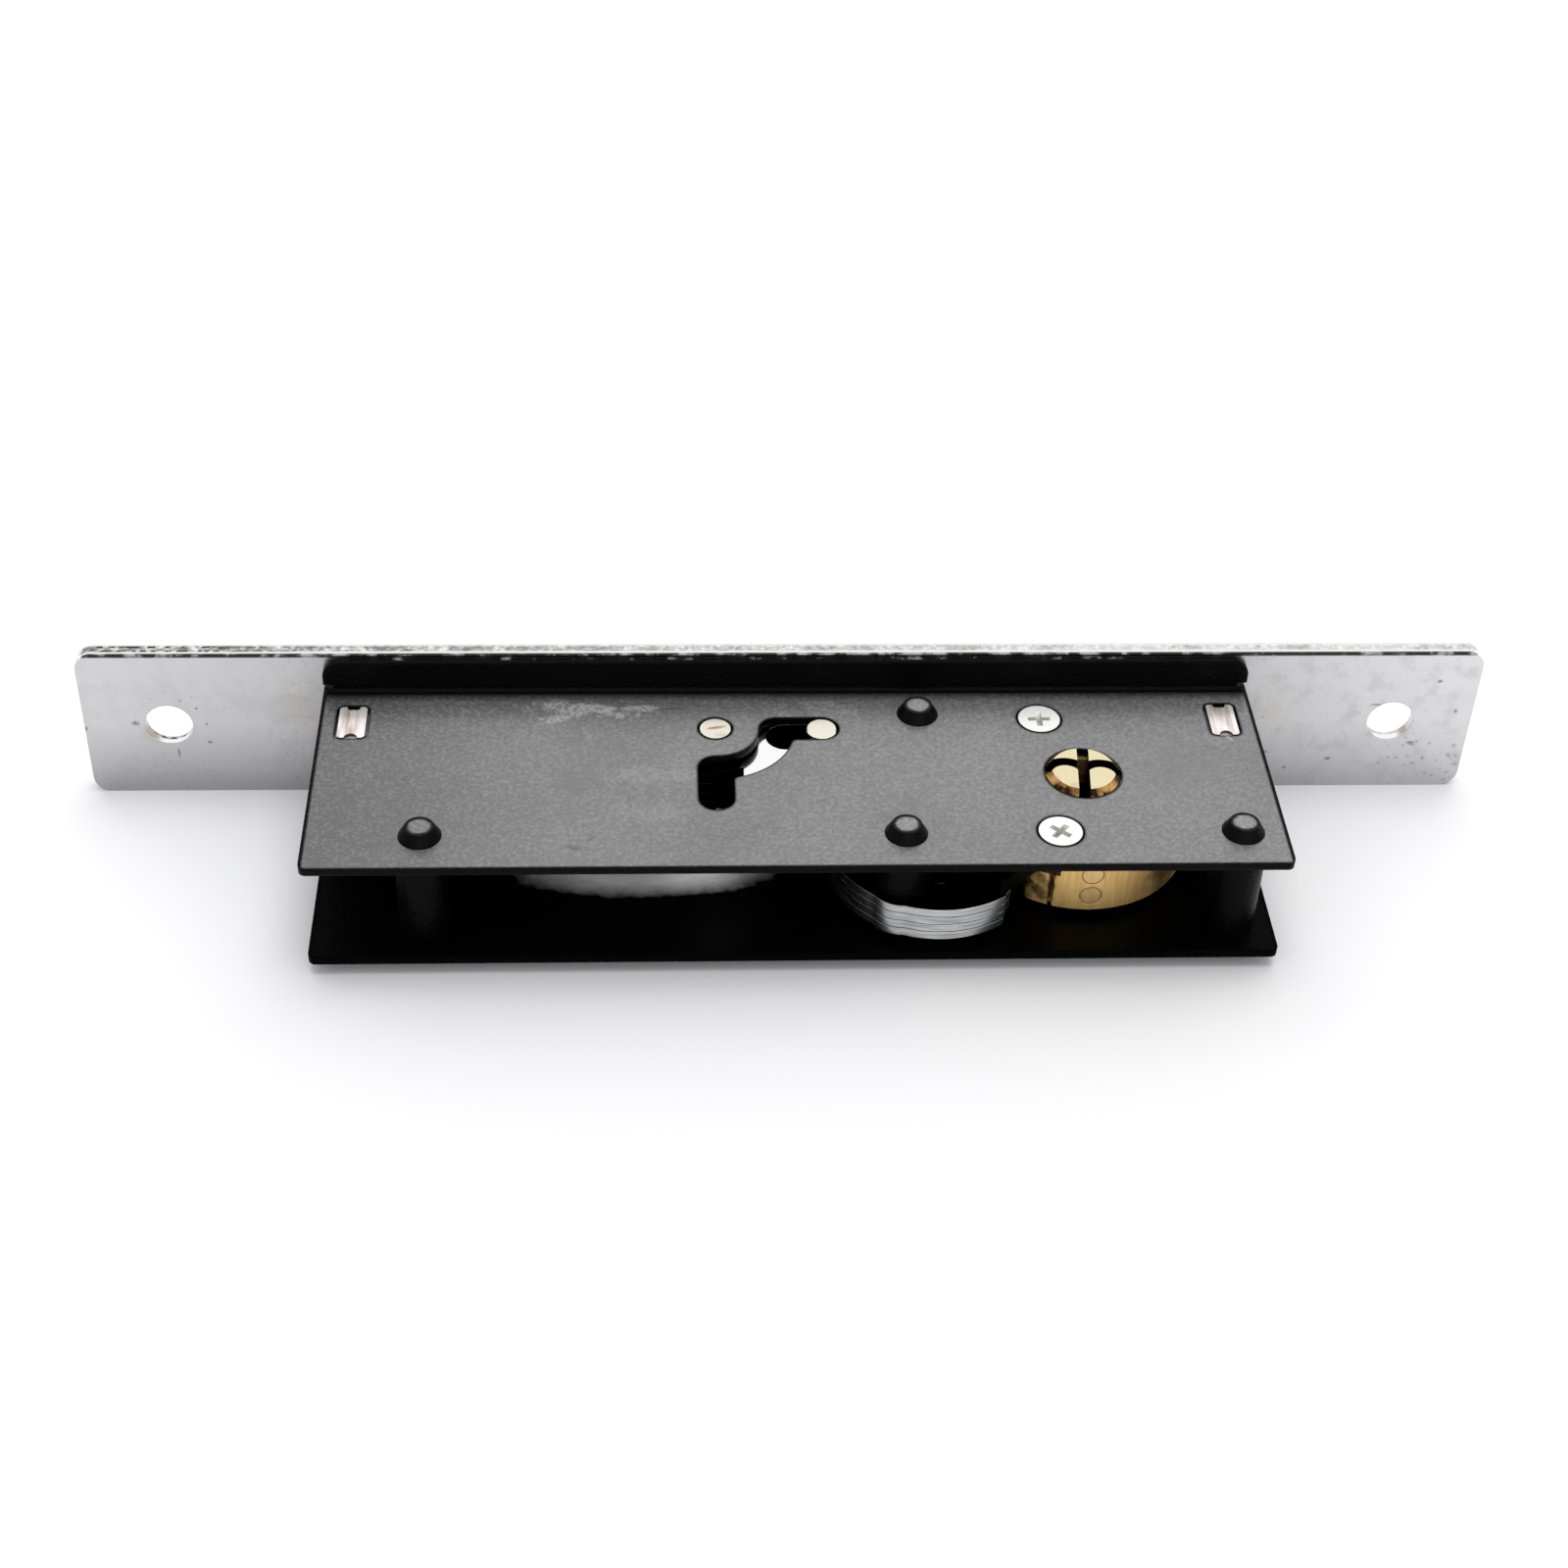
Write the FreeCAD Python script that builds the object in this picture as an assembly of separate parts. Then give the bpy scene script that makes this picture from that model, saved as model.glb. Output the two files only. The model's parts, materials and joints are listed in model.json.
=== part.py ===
import FreeCAD, Part
import math
import os

# Hook lock for a sliding door, millimetres.
# Origin: centre of the faceplate's inner face, which seats on the door stile.
# X runs along the faceplate, +Y out of its outer face (the way the hook is thrown),
# +Z is the normal of the two case plates. The case lies on the -Y side.

# Faceplate
faceplate_len = 240.0
faceplate_w = 29.3
faceplate_t = 3.0
faceplate_corner_r = 3.0
fixing_inset = 14.3
fixing_hole_r = 4.05
fixing_sink_r = 5.3
fixing_sink_depth = 1.3

# Case of two pressed plates
hook_side_len = 65.9
cylinder_side_len = 31.2
case_depth = 46.7
case_h = 20.5
plate_t = 1.5
plate_corner_r = 1.2
flange_top_gap = 0.5
flange_corner_r = 3.0
bend_r = 0.7
relief_w = 1.6
relief_h = 1.4

# Spacer posts with their ends riveted over
post_r = 4.3
post_neck_r = 2.6
rivet_base_r = 3.5
rivet_top_r = 2.4
upper_head_h = 1.9
lower_head_h = 2.3
front_posts_y = -38.9
left_post_inset = 18.5
rear_post_x = 21.4
rear_post_y = -8.1
right_post_inset = 7.2

# End blocks that carry the faceplate
block_inset = 5.5
block_w = 9.6
block_depth = 18.6
tenon_w = 4.6
tenon_len = 8.2
tenon_corner_r = 0.7
stake_r = 1.1
stake_depth = 0.6
tenon_y = -9.9
tenon_hole_w = 5.4
tenon_hole_len = 8.8
tenon_hole_r = 1.2
block_screw_r = 2.4
block_screw_len = 14.0
block_screw_head_r = 4.6

# Hook bolt, a stack of plates turning on a fixed brass pin
hook_x = -12.8
hook_y = -11.9
hook_plate_t = 2.0
hook_plate_count = 4
hook_top_gap = 0.6
hook_swing_deg = 90.0
hook_hub_r = 8.8
hook_reach = 32.0
claw_w = 9.4
claw_tip_y = 10.6
claw_tip_r = 2.0
throat_y = 1.0
throat_r = 3.0
arm_low_y = -9.5
tail_wall = 3.8
tail_high = 7.4
tail_low = 10.2
tail_shoulder = 4.5
tail_corner_r = 4.0
drive_slot_half = 3.3
drive_slot_rise = 0.25
drive_slot_start = 8.5
drive_slot_end = 22.2
pin_end_r = 2.6
pin_journal_r = 3.5
pin_collar_r = 4.6
upper_pin_hole_r = 2.95
hook_rivet_r = 1.6

# S-shaped guide slot for the throw pin
throw_pin_x = 5.0
throw_pin_y = -12.0
throw_pin_r = 2.6
throw_pin_tip_r = 1.6
guide_slot_r = 2.95
guide_arc_r = 10.25
guide_low_x = -12.95
guide_low_y = -30.1
guide_corner_r = 1.0
roller_travel = 7.4
roller_proud = 0.05
roller_lift = 0.15
roller_chamfer = 0.2

# Throw lever, a stack of plates turning on the middle front post
lever_x = 17.1
lever_swing_deg = 49.5
lever_plate_t = 1.5
lever_plate_count = 4
lever_plate_gap = 0.1
lever_lift = 2.1
lever_journal_r = 3.0
lever_hub_r = 5.7
lever_end_r = 5.3
belly_x = 23.2
belly_y = -28.0
belly_r = 17.7
belly_top_y = -30.0
belly_end_x = 33.6
tail_gap = 0.6
belly_rivet_drop = 9.7
peg_reach = 15.0
peg_dir_deg = 4.0
peg_r = 1.5
peg_wall = 1.5
peg_rise = 3.2
lever_rivet_r = 1.5

# Lock cylinder, held to the upper plate by two countersunk screws
cylinder_x = 47.5
cylinder_y = -24.1
body_front_r = 18.3
body_front_dx = 0.8
body_half = 14.4
body_left = 9.5
body_right = 17.0
body_lift = 1.8
lug_t = 3.0
lug_r = 4.0
lug_root_r = 11.4
screw_dx = -5.55
screw_beside = 0.15
screw_head_r = 3.55
screw_sink_gap = 0.4
screw_turns = (40.0, 0.0)
screw_r = 2.0
screw_len = 4.5
recess_depth = 1.8
recess_arm = 1.9
recess_w = 0.95
sink_margin = 0.25
key_hole_r = 6.4
plug_rim_t = 0.8
plug_head_gap = 0.2
plug_rise = 1.0
plug_chamfer = 0.9
plug_below = 1.6
lower_hole_r = 8.2
keyway_w = 1.9
keyway_turn_deg = -5.0
keyway_mouth_depth = 6.0
keyway_core = 3.7
keyway_core_depth = 14.0
keyway_rise = 1.6
keyway_crown_x = 2.9
clip_t = 0.6
clip_w = 1.9
clip_mouth_deg = 60.0
cam_t = 3.0
cam_reach = 23.4
cam_w = 6.0
fork_w = 8.0
fork_start = 15.0
cam_swing_deg = 34.4
cam_slot_start = 17.0
cam_slot_half = 2.1
window_start_deg = 160.0
window_end_deg = 252.0
window_ring = 1.5
groove_x = 5.65
groove_w = 0.7
groove_depth = 0.9
window_reach = 17.4
chamber_r = 1.85
chamber_rise = 3.05
chamber_pitch = 4.35
chamber_depth = 3.0
chamber_flush = 0.03

# Clearances
run_clear = 0.05
seat_clear = 0.02
move_clear = 0.3
wide_clear = 0.5

# Levels and places that follow from the sizes above
case_x0 = hook_x - hook_side_len
case_x1 = cylinder_x + cylinder_side_len
case_z0 = -faceplate_w / 2 + lower_head_h
case_z1 = case_z0 + case_h
inner_z0 = case_z0 + plate_t
inner_z1 = case_z1 - plate_t
hook_z1 = inner_z1 - hook_top_gap
hook_z0 = hook_z1 - hook_plate_count * hook_plate_t
lever_pitch = lever_plate_t + lever_plate_gap
lever_z0 = inner_z0 + lever_lift
lever_z1 = lever_z0 + lever_plate_count * lever_pitch - lever_plate_gap
cam_z0 = lever_z1 + move_clear
cam_z1 = cam_z0 + cam_t
body_z0 = inner_z0 + body_lift
claw_inner_r = hook_reach - claw_w
plug_r = key_hole_r - plug_rim_t
block_xs = (case_x0 + block_inset, case_x1 - block_inset)
HOOK = FreeCAD.Vector(hook_x, hook_y, 0)
LEVER = FreeCAD.Vector(lever_x, front_posts_y, 0)
THROW = FreeCAD.Vector(throw_pin_x, throw_pin_y, 0)
CYLINDER = FreeCAD.Vector(cylinder_x, cylinder_y, 0)
tail_reach = cylinder_x - body_left - lever_x - tail_gap
screw_dy = body_half + screw_beside
UP = FreeCAD.Vector(0, 0, 1)
INTO_DOOR = FreeCAD.Vector(0, -1, 0)


def at(x, y, z=0.0):
    return FreeCAD.Vector(x, y, z)


def polar(centre, radius, degrees):
    a = math.radians(degrees)
    return at(centre.x + radius * math.cos(a), centre.y + radius * math.sin(a), centre.z)


def box(x0, x1, y0, y1, z0, z1):
    return Part.makeBox(x1 - x0, y1 - y0, z1 - z0, at(x0, y0, z0))


def rod(centre, radius, z0, z1):
    return Part.makeCylinder(radius, z1 - z0, at(centre.x, centre.y, z0), UP)


def turned(centre, steps):
    """Turned piece: steps are (lower radius, upper radius, lower z, upper z)."""
    points = [at(0, 0, steps[0][2])]
    for r_low, r_high, z_low, z_high in steps:
        points.append(at(r_low, 0, z_low))
        points.append(at(r_high, 0, z_high))
    points.append(at(0, 0, steps[-1][3]))
    points.append(points[0])
    tidy = [points[0]]
    for p in points[1:]:
        if (p - tidy[-1]).Length > 1e-6:
            tidy.append(p)
    solid = Part.Face(Part.makePolygon(tidy)).revolve(at(0, 0), UP, 360)
    solid.translate(at(centre.x, centre.y))
    return solid


def slab(points, z0, z1):
    """Straight-sided plate from its corner points."""
    ring = [at(p.x, p.y, z0) for p in points]
    ring.append(ring[0])
    return Part.Face(Part.makePolygon(ring)).extrude(at(0, 0, z1 - z0))


def bar(a, r_a, b, r_b, z0, z1):
    """Plate with two round ends joined by their outer tangents."""
    run = b - a
    aim = math.degrees(math.atan2(run.y, run.x))
    lean = math.degrees(math.acos((r_a - r_b) / run.Length))
    sides = [polar(a, r_a, aim + lean), polar(b, r_b, aim + lean)]
    sides += [polar(b, r_b, aim - lean), polar(a, r_a, aim - lean)]
    body = slab(sides, z0, z1)
    return body.fuse([rod(a, r_a, z0, z1), rod(b, r_b, z0, z1)]).removeSplitter()


def sector(centre, radius, start, end, z0, z1):
    """Pie-shaped plate, used to cut windows and arcs."""
    solid = Part.makeCylinder(radius, z1 - z0, at(0, 0, z0), UP, end - start)
    solid.rotate(at(0, 0), UP, start)
    solid.translate(at(centre.x, centre.y))
    return solid


def edges_along_z(shape, chosen):
    """Straight edges parallel to Z whose foot satisfies chosen(x, y)."""
    found = []
    for edge in shape.Edges:
        a = edge.Vertexes[0].Point
        b = edge.Vertexes[-1].Point
        upright = abs(a.x - b.x) < 1e-6 and abs(a.y - b.y) < 1e-6 and abs(a.z - b.z) > 1e-6
        if upright and chosen(a.x, a.y):
            found.append(edge)
    return found


def countersunk(point, axis, r_hole, r_sink, depth, through):
    """Tool for a countersunk hole whose mouth is at point and which runs along axis."""
    hole = Part.makeCylinder(r_hole, through, point, axis)
    sink = Part.makeCone(r_sink, r_hole, depth, point, axis)
    return hole.fuse(sink)


def hook_opening():
    """Window in the faceplate, as wide as the hook's sweep through it."""
    left = hook_x - math.sqrt(hook_reach ** 2 - hook_y ** 2) - wide_clear
    right = hook_x + throat_y + claw_tip_r + wide_clear
    window = box(left, right, -wide_clear, faceplate_t + wide_clear, hook_z0 - wide_clear, hook_z1 + wide_clear)
    return window


def faceplate():
    half_l = faceplate_len / 2
    half_w = faceplate_w / 2
    plate = box(-half_l, half_l, 0, faceplate_t, -half_w, half_w)
    corners = []
    for edge in plate.Edges:
        a = edge.Vertexes[0].Point
        b = edge.Vertexes[-1].Point
        if abs(abs(a.y - b.y) - faceplate_t) < 1e-6:
            corners.append(edge)
    plate = plate.makeFillet(faceplate_corner_r, corners)
    through = faceplate_t + wide_clear
    for side in (-1, 1):
        mouth = at(side * (half_l - fixing_inset), faceplate_t, 0)
        plate = plate.cut(countersunk(mouth, INTO_DOOR, fixing_hole_r, fixing_sink_r, fixing_sink_depth, through))
    r_sink = block_screw_head_r + sink_margin
    r_hole = block_screw_r + sink_margin
    for x in block_xs:
        mouth = at(x, faceplate_t, block_screw_z())
        plate = plate.cut(countersunk(mouth, INTO_DOOR, r_hole, r_sink, r_sink - r_hole, through))
    return plate.cut(hook_opening())


def block_screw_z():
    return (case_z0 + case_z1) / 2


def guide_slot(z0, z1):
    """S-shaped slot: straight towards the hook's pin, a quarter turn round it, straight away."""
    inner = guide_arc_r - guide_slot_r
    outer = guide_arc_r + guide_slot_r
    turn_in = at(hook_x + guide_arc_r, throw_pin_y)
    turn_out = at(guide_low_x, hook_y - guide_arc_r)
    low_end = at(guide_low_x, guide_low_y)
    first = bar(turn_in, guide_slot_r, THROW, guide_slot_r, z0, z1)
    last = bar(turn_out, guide_slot_r, low_end, guide_slot_r, z0, z1)
    ring = sector(HOOK, outer, -90, 0, z0, z1).cut(rod(HOOK, inner, z0, z1))
    slot = first.fuse([last, ring]).removeSplitter()
    low_wall = throw_pin_y - guide_slot_r
    corner_x = hook_x + math.sqrt(outer ** 2 - (low_wall - hook_y) ** 2)
    side_wall = guide_low_x + guide_slot_r
    corner_y = hook_y - math.sqrt(outer ** 2 - (side_wall - hook_x) ** 2)

    def is_inner_corner(x, y):
        near_first = math.hypot(x - corner_x, y - low_wall) < guide_corner_r
        near_last = math.hypot(x - side_wall, y - corner_y) < guide_corner_r
        return near_first or near_last

    return slot.makeFillet(guide_corner_r, edges_along_z(slot, is_inner_corner))


def screw_spots():
    return [at(cylinder_x + screw_dx, cylinder_y + side * screw_dy) for side in (-1, 1)]


def post_spots():
    return [
        at(case_x0 + left_post_inset, front_posts_y),
        at(rear_post_x, rear_post_y),
        LEVER,
        at(case_x1 - right_post_inset, front_posts_y),
    ]


def case_plate(z0, z1):
    """Flat part that both case plates share: outline, rivet holes and tenon holes."""
    plate = box(case_x0, case_x1, -case_depth, 0, z0, z1)
    plate = plate.makeFillet(plate_corner_r, edges_along_z(plate, lambda x, y: y < -case_depth / 2))
    cuts = [rod(spot, post_neck_r + seat_clear, z0, z1) for spot in post_spots()]
    w = tenon_hole_w / 2
    y0 = tenon_y - tenon_hole_len / 2
    for x in block_xs:
        hole = box(x - w, x + w, y0, y0 + tenon_hole_len, z0, z1)
        cuts.append(hole.makeFillet(tenon_hole_r, edges_along_z(hole, lambda px, py: True)))
    return plate.cut(cuts)


def upper_case_plate():
    plate = case_plate(inner_z1, case_z1)
    flange_z1 = faceplate_w / 2 - flange_top_gap
    flange = box(case_x0, case_x1, -plate_t, 0, inner_z1, flange_z1)
    top_corners = []
    for edge in flange.Edges:
        a = edge.Vertexes[0].Point
        b = edge.Vertexes[-1].Point
        if abs(a.y - b.y) > plate_t / 2 and min(a.z, b.z) > flange_z1 - 1e-6:
            top_corners.append(edge)
    flange = flange.makeFillet(flange_corner_r, top_corners)
    y_bend = -plate_t - bend_r
    bend = box(case_x0, case_x1, y_bend, -plate_t, case_z1, case_z1 + bend_r)
    round_tool = Part.makeCylinder(bend_r, case_x1 - case_x0, at(case_x0, y_bend, case_z1 + bend_r), at(1, 0, 0))
    plate = plate.fuse([flange, bend.cut(round_tool)]).removeSplitter()
    cuts = [guide_slot(inner_z1, case_z1)]
    cuts.append(rod(HOOK, upper_pin_hole_r, inner_z1, case_z1))
    cuts.append(rod(CYLINDER, key_hole_r, inner_z1, case_z1))
    for spot in screw_spots():
        mouth = at(spot.x, spot.y, case_z1)
        r_sink = screw_head_r + screw_sink_gap
        r_hole = screw_r + screw_sink_gap
        cuts.append(countersunk(mouth, at(0, 0, -1), r_hole, r_sink, plate_t, plate_t))
    for x in (case_x0, case_x1 - relief_w):
        cuts.append(box(x, x + relief_w, y_bend, 0, case_z1, case_z1 + relief_h))
    return plate.cut(cuts)


def lower_case_plate():
    plate = case_plate(case_z0, inner_z0)
    cuts = [rod(HOOK, pin_end_r + seat_clear, case_z0, inner_z0)]
    cuts.append(rod(CYLINDER, lower_hole_r, case_z0, inner_z0))
    return plate.cut(cuts)


def riveted_post(spot, steps):
    """Post between the plates, with a neck in each plate and its ends riveted over."""
    low_neck = (post_neck_r, post_neck_r, case_z0, inner_z0)
    high_neck = (post_neck_r, post_neck_r, inner_z1, case_z1)
    low_head = (rivet_top_r, rivet_base_r, case_z0 - lower_head_h, case_z0)
    high_head = (rivet_base_r, rivet_top_r, case_z1, case_z1 + upper_head_h)
    return turned(spot, [low_head, low_neck] + steps + [high_neck, high_head])


def spacer_post(spot):
    return riveted_post(spot, [(post_r, post_r, inner_z0, inner_z1)])


def lever_pivot_post():
    low = (post_r, post_r, inner_z0, lever_z0 - run_clear)
    journal = (lever_journal_r, lever_journal_r, low[3], lever_z1 + run_clear)
    high = (post_r, post_r, journal[3], inner_z1)
    return riveted_post(LEVER, [low, journal, high])


def end_block(x):
    """Block between the plates that carries the faceplate, with a tenon staked in each plate."""
    w = block_w / 2
    block = box(x - w, x + w, -block_depth, 0, inner_z0, inner_z1)
    y0 = tenon_y - tenon_len / 2
    tenon = box(x - tenon_w / 2, x + tenon_w / 2, y0, y0 + tenon_len, case_z0, case_z1)
    tenon = tenon.makeFillet(tenon_corner_r, edges_along_z(tenon, lambda px, py: True))
    for y in (y0, y0 + tenon_len):
        tenon = tenon.cut(rod(at(x, y), stake_r, case_z1 - stake_depth, case_z1))
    block = block.fuse(tenon).removeSplitter()
    hole = Part.makeCylinder(block_screw_r + seat_clear, block_screw_len, at(x, 0, block_screw_z()), INTO_DOOR)
    return block.cut(hole)


def faceplate_screws():
    """Two countersunk screws from the outer face into the end blocks."""
    screws = []
    for x in block_xs:
        mouth = at(x, faceplate_t, block_screw_z())
        cone_len = block_screw_head_r - block_screw_r
        head = Part.makeCone(block_screw_head_r, block_screw_r, cone_len, mouth, INTO_DOOR)
        shank = Part.makeCylinder(block_screw_r, block_screw_len, mouth, INTO_DOOR)
        screws.append(head.fuse(shank).removeSplitter().cut(cross_recess(mouth, INTO_DOOR)))
    return Part.makeCompound(screws)


def cross_recess(mouth, axis, start_deg=0.0):
    """Tapered cross recess of a screw head; mouth is the head's centre."""
    side = -recess_w / 2
    wide = recess_arm
    narrow = recess_arm / 2
    blades = []
    for turn in (start_deg, start_deg + 90):
        foot = [at(-wide, side, 0), at(wide, side, 0), at(narrow, side, recess_depth), at(-narrow, side, recess_depth)]
        foot.append(foot[0])
        blade = Part.Face(Part.makePolygon(foot)).extrude(at(0, recess_w, 0))
        blade.rotate(at(0, 0), UP, turn)
        blades.append(blade)
    cross = blades[0].fuse(blades[1])
    spin = FreeCAD.Rotation(UP, axis)
    cross.Placement = FreeCAD.Placement(mouth, spin)
    return cross


def hook_pivot_pin():
    low = (pin_end_r, pin_end_r, case_z0, inner_z0)
    collar = (pin_collar_r, pin_collar_r, inner_z0, hook_z0 - run_clear)
    journal = (pin_journal_r, pin_journal_r, collar[3], hook_z1 + run_clear)
    high = (pin_end_r, pin_end_r, journal[3], case_z1)
    return turned(HOOK, [low, collar, journal, high])


def hook_rivet_spots():
    arm_mid = (throat_y + arm_low_y) / 2
    near = at(hook_x - hook_hub_r - 2 * hook_rivet_r, hook_y + arm_mid)
    far = polar(HOOK, (claw_inner_r + hook_reach) / 2, 180)
    return [near, far]


def hook_plate(index):
    """One plate of the hook: claw and arm to the left, slotted tail to the right."""
    z0 = hook_z0 + index * hook_plate_t
    z1 = z0 + hook_plate_t
    tail_start = hook_x + tail_shoulder
    tail_end = hook_x + drive_slot_end + tail_wall
    arm = box(hook_x - hook_reach, hook_x, hook_y + arm_low_y, hook_y + claw_tip_y, z0, z1)
    arm = arm.common(rod(HOOK, hook_reach, z0, z1))
    throat = box(hook_x - claw_inner_r, hook_x, hook_y + throat_y, hook_y + claw_tip_y, z0, z1)
    throat = throat.common(rod(HOOK, claw_inner_r, z0, z1))
    arm = arm.cut(throat)
    tail = box(tail_start, tail_end, hook_y - tail_low, hook_y + tail_high, z0, z1)
    tail = tail.makeFillet(tail_corner_r, edges_along_z(tail, lambda x, y: x > tail_start))
    plate = arm.fuse([tail, rod(HOOK, hook_hub_r, z0, z1)]).removeSplitter()

    def is_tip(x, y):
        return abs(y - hook_y - claw_tip_y) < 1e-3 and x < hook_x - hook_hub_r

    def is_root(x, y):
        return abs(y - hook_y - throat_y) < 1e-3 and x < hook_x - hook_hub_r - throat_r

    plate = plate.makeFillet(claw_tip_r, edges_along_z(plate, is_tip))
    plate = plate.makeFillet(throat_r, edges_along_z(plate, is_root))
    slot_y = hook_y + drive_slot_rise
    slot_a = at(hook_x + drive_slot_start + drive_slot_half, slot_y)
    slot_b = at(hook_x + drive_slot_end - drive_slot_half, slot_y)
    cuts = [bar(slot_a, drive_slot_half, slot_b, drive_slot_half, z0, z1)]
    cuts.append(rod(HOOK, pin_journal_r + run_clear, z0, z1))
    cuts += [rod(spot, hook_rivet_r + seat_clear, z0, z1) for spot in hook_rivet_spots()]
    return plate.cut(cuts)


def hook_rivets():
    return Part.makeCompound([rod(spot, hook_rivet_r, hook_z0, hook_z1) for spot in hook_rivet_spots()])


def peg_spot():
    return polar(LEVER, peg_reach, peg_dir_deg)


def belly_rivet_spot():
    return at(belly_x, belly_y - belly_rivet_drop)


def lever_plate(index):
    """One plate of the throw lever: arm to the throw pin, belly and tail to the cam's side."""
    z0 = lever_z0 + index * lever_pitch
    z1 = z0 + lever_plate_t
    arm = bar(LEVER, lever_hub_r, THROW, lever_end_r, z0, z1)
    belly = rod(at(belly_x, belly_y), belly_r, z0, z1)
    belly = belly.common(rod(LEVER, tail_reach, z0, z1))
    below = box(belly_x - belly_r, belly_end_x, belly_y - belly_r, belly_top_y, z0, z1)
    boss = rod(peg_spot(), peg_r + peg_wall, z0, z1)
    plate = arm.fuse([belly.common(below), boss]).removeSplitter()
    cuts = [rod(LEVER, lever_journal_r + run_clear, z0, z1)]
    cuts.append(rod(THROW, throw_pin_r + seat_clear, z0, z1))
    cuts.append(rod(peg_spot(), peg_r + seat_clear, z0, z1))
    cuts.append(rod(belly_rivet_spot(), lever_rivet_r + seat_clear, z0, z1))
    return plate.cut(cuts)


def lever_rivet():
    return rod(belly_rivet_spot(), lever_rivet_r, lever_z0, lever_z1)


def lever_peg():
    return rod(peg_spot(), peg_r, lever_z0, lever_z1 + peg_rise)


def throw_pin():
    """Stepped pin set in the lever's end; its tip runs in the hook's slot."""
    foot = (throw_pin_r, throw_pin_r, lever_z0, lever_z1)
    tip = (throw_pin_tip_r, throw_pin_tip_r, lever_z1, inner_z1 - move_clear)
    return turned(THROW, [foot, tip])


def throw_pin_roller():
    """Brass roller at the pin's upper end, running in the upper plate's slot."""
    z1 = case_z1 + roller_proud
    wall = (throw_pin_r, throw_pin_r, inner_z1 - roller_lift, z1 - roller_chamfer)
    top = (throw_pin_r, throw_pin_r - roller_chamfer, wall[3], z1)
    return turned(THROW, [wall, top])


def window_tool():
    """Room in the cylinder's body for the cam's arm and its swing."""
    z0 = cam_z0 - move_clear
    z1 = cam_z1 + move_clear
    pie = sector(CYLINDER, window_reach, window_start_deg, window_end_deg, z0, z1)
    return pie.fuse(rod(CYLINDER, plug_r + window_ring, z0, z1))


def body_front(x):
    """Y of the body's round front at that x."""
    across = x - cylinder_x - body_front_dx
    return cylinder_y - body_half + body_front_r - math.sqrt(body_front_r ** 2 - across ** 2)


def chamber_spots():
    x = cylinder_x + body_front_dx
    return [at(x, body_front(x), body_z0 + chamber_rise + row * chamber_pitch) for row in (0, 1)]


def body_block():
    """Outline of the body: round front and back, flat sides."""
    x = cylinder_x + body_front_dx
    arc_y = body_front_r - body_half
    front = rod(at(x, cylinder_y + arc_y), body_front_r, body_z0, inner_z1)
    back = rod(at(x, cylinder_y - arc_y), body_front_r, body_z0, inner_z1)
    y0 = cylinder_y - body_half
    y1 = cylinder_y + body_half
    sides = box(cylinder_x - body_left, cylinder_x + body_right, y0, y1, body_z0, inner_z1)
    return sides.common(front).common(back)


def cylinder_body():
    lugs = []
    for spot in screw_spots():
        lugs.append(bar(CYLINDER, lug_root_r, spot, lug_r, inner_z1 - lug_t, inner_z1))
    body = body_block().fuse(lugs).removeSplitter()
    x = cylinder_x - groove_x
    y = body_front(x)
    groove = box(x - groove_w / 2, x + groove_w / 2, y - groove_depth, y + groove_depth, body_z0, inner_z1 - lug_t)
    cuts = [window_tool(), groove, rod(CYLINDER, plug_r + run_clear, body_z0, inner_z1)]
    for spot in screw_spots():
        cuts.append(rod(spot, screw_r + seat_clear, case_z1 - screw_len - seat_clear, inner_z1))
    for spot in chamber_spots():
        cuts.append(Part.makeCylinder(chamber_r + seat_clear, chamber_depth, spot, at(0, 1, 0)))
    return body.cut(cuts)


def chamber_plugs():
    """Two brass plugs that close the pin chambers, flush with the body's round front."""
    x = cylinder_x + body_front_dx
    arc_y = body_front_r - body_half
    wall = rod(at(x, cylinder_y + arc_y), body_front_r - chamber_flush, body_z0, inner_z1)
    plugs = []
    for spot in chamber_spots():
        plug = Part.makeCylinder(chamber_r, chamber_depth - seat_clear, spot, at(0, 1, 0))
        plugs.append(plug.common(wall))
    return Part.makeCompound(plugs)


def keyway():
    """Cross keyway: upright arm across the plug, side arms arched away from the key's flat side."""
    z1 = case_z1 + plug_rise
    z_mouth = z1 - keyway_mouth_depth
    z_core = z1 - keyway_core_depth
    half = keyway_w / 2
    upright = box(-half, half, -key_hole_r, key_hole_r, z_mouth, z1)
    core = box(-half, half, -keyway_core, keyway_core, z_core, z_mouth)
    arch_r = (keyway_crown_x ** 2 + keyway_rise ** 2) / (2 * keyway_rise)
    arms = []
    for side in (-1, 1):
        centre = at(side * keyway_crown_x, keyway_rise - arch_r)
        ring = rod(centre, arch_r + half, z_mouth, z1).cut(rod(centre, arch_r - half, z_mouth, z1))
        reach = side * key_hole_r
        room = box(min(0, reach), max(0, reach), -half, key_hole_r, z_mouth, z1)
        arms.append(ring.common(room))
    cross = upright.fuse([core] + arms)
    cross.rotate(at(0, 0), UP, keyway_turn_deg)
    cross.translate(CYLINDER)
    return cross


def clip_z():
    z1 = body_z0 - run_clear
    return z1 - clip_t, z1


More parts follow.
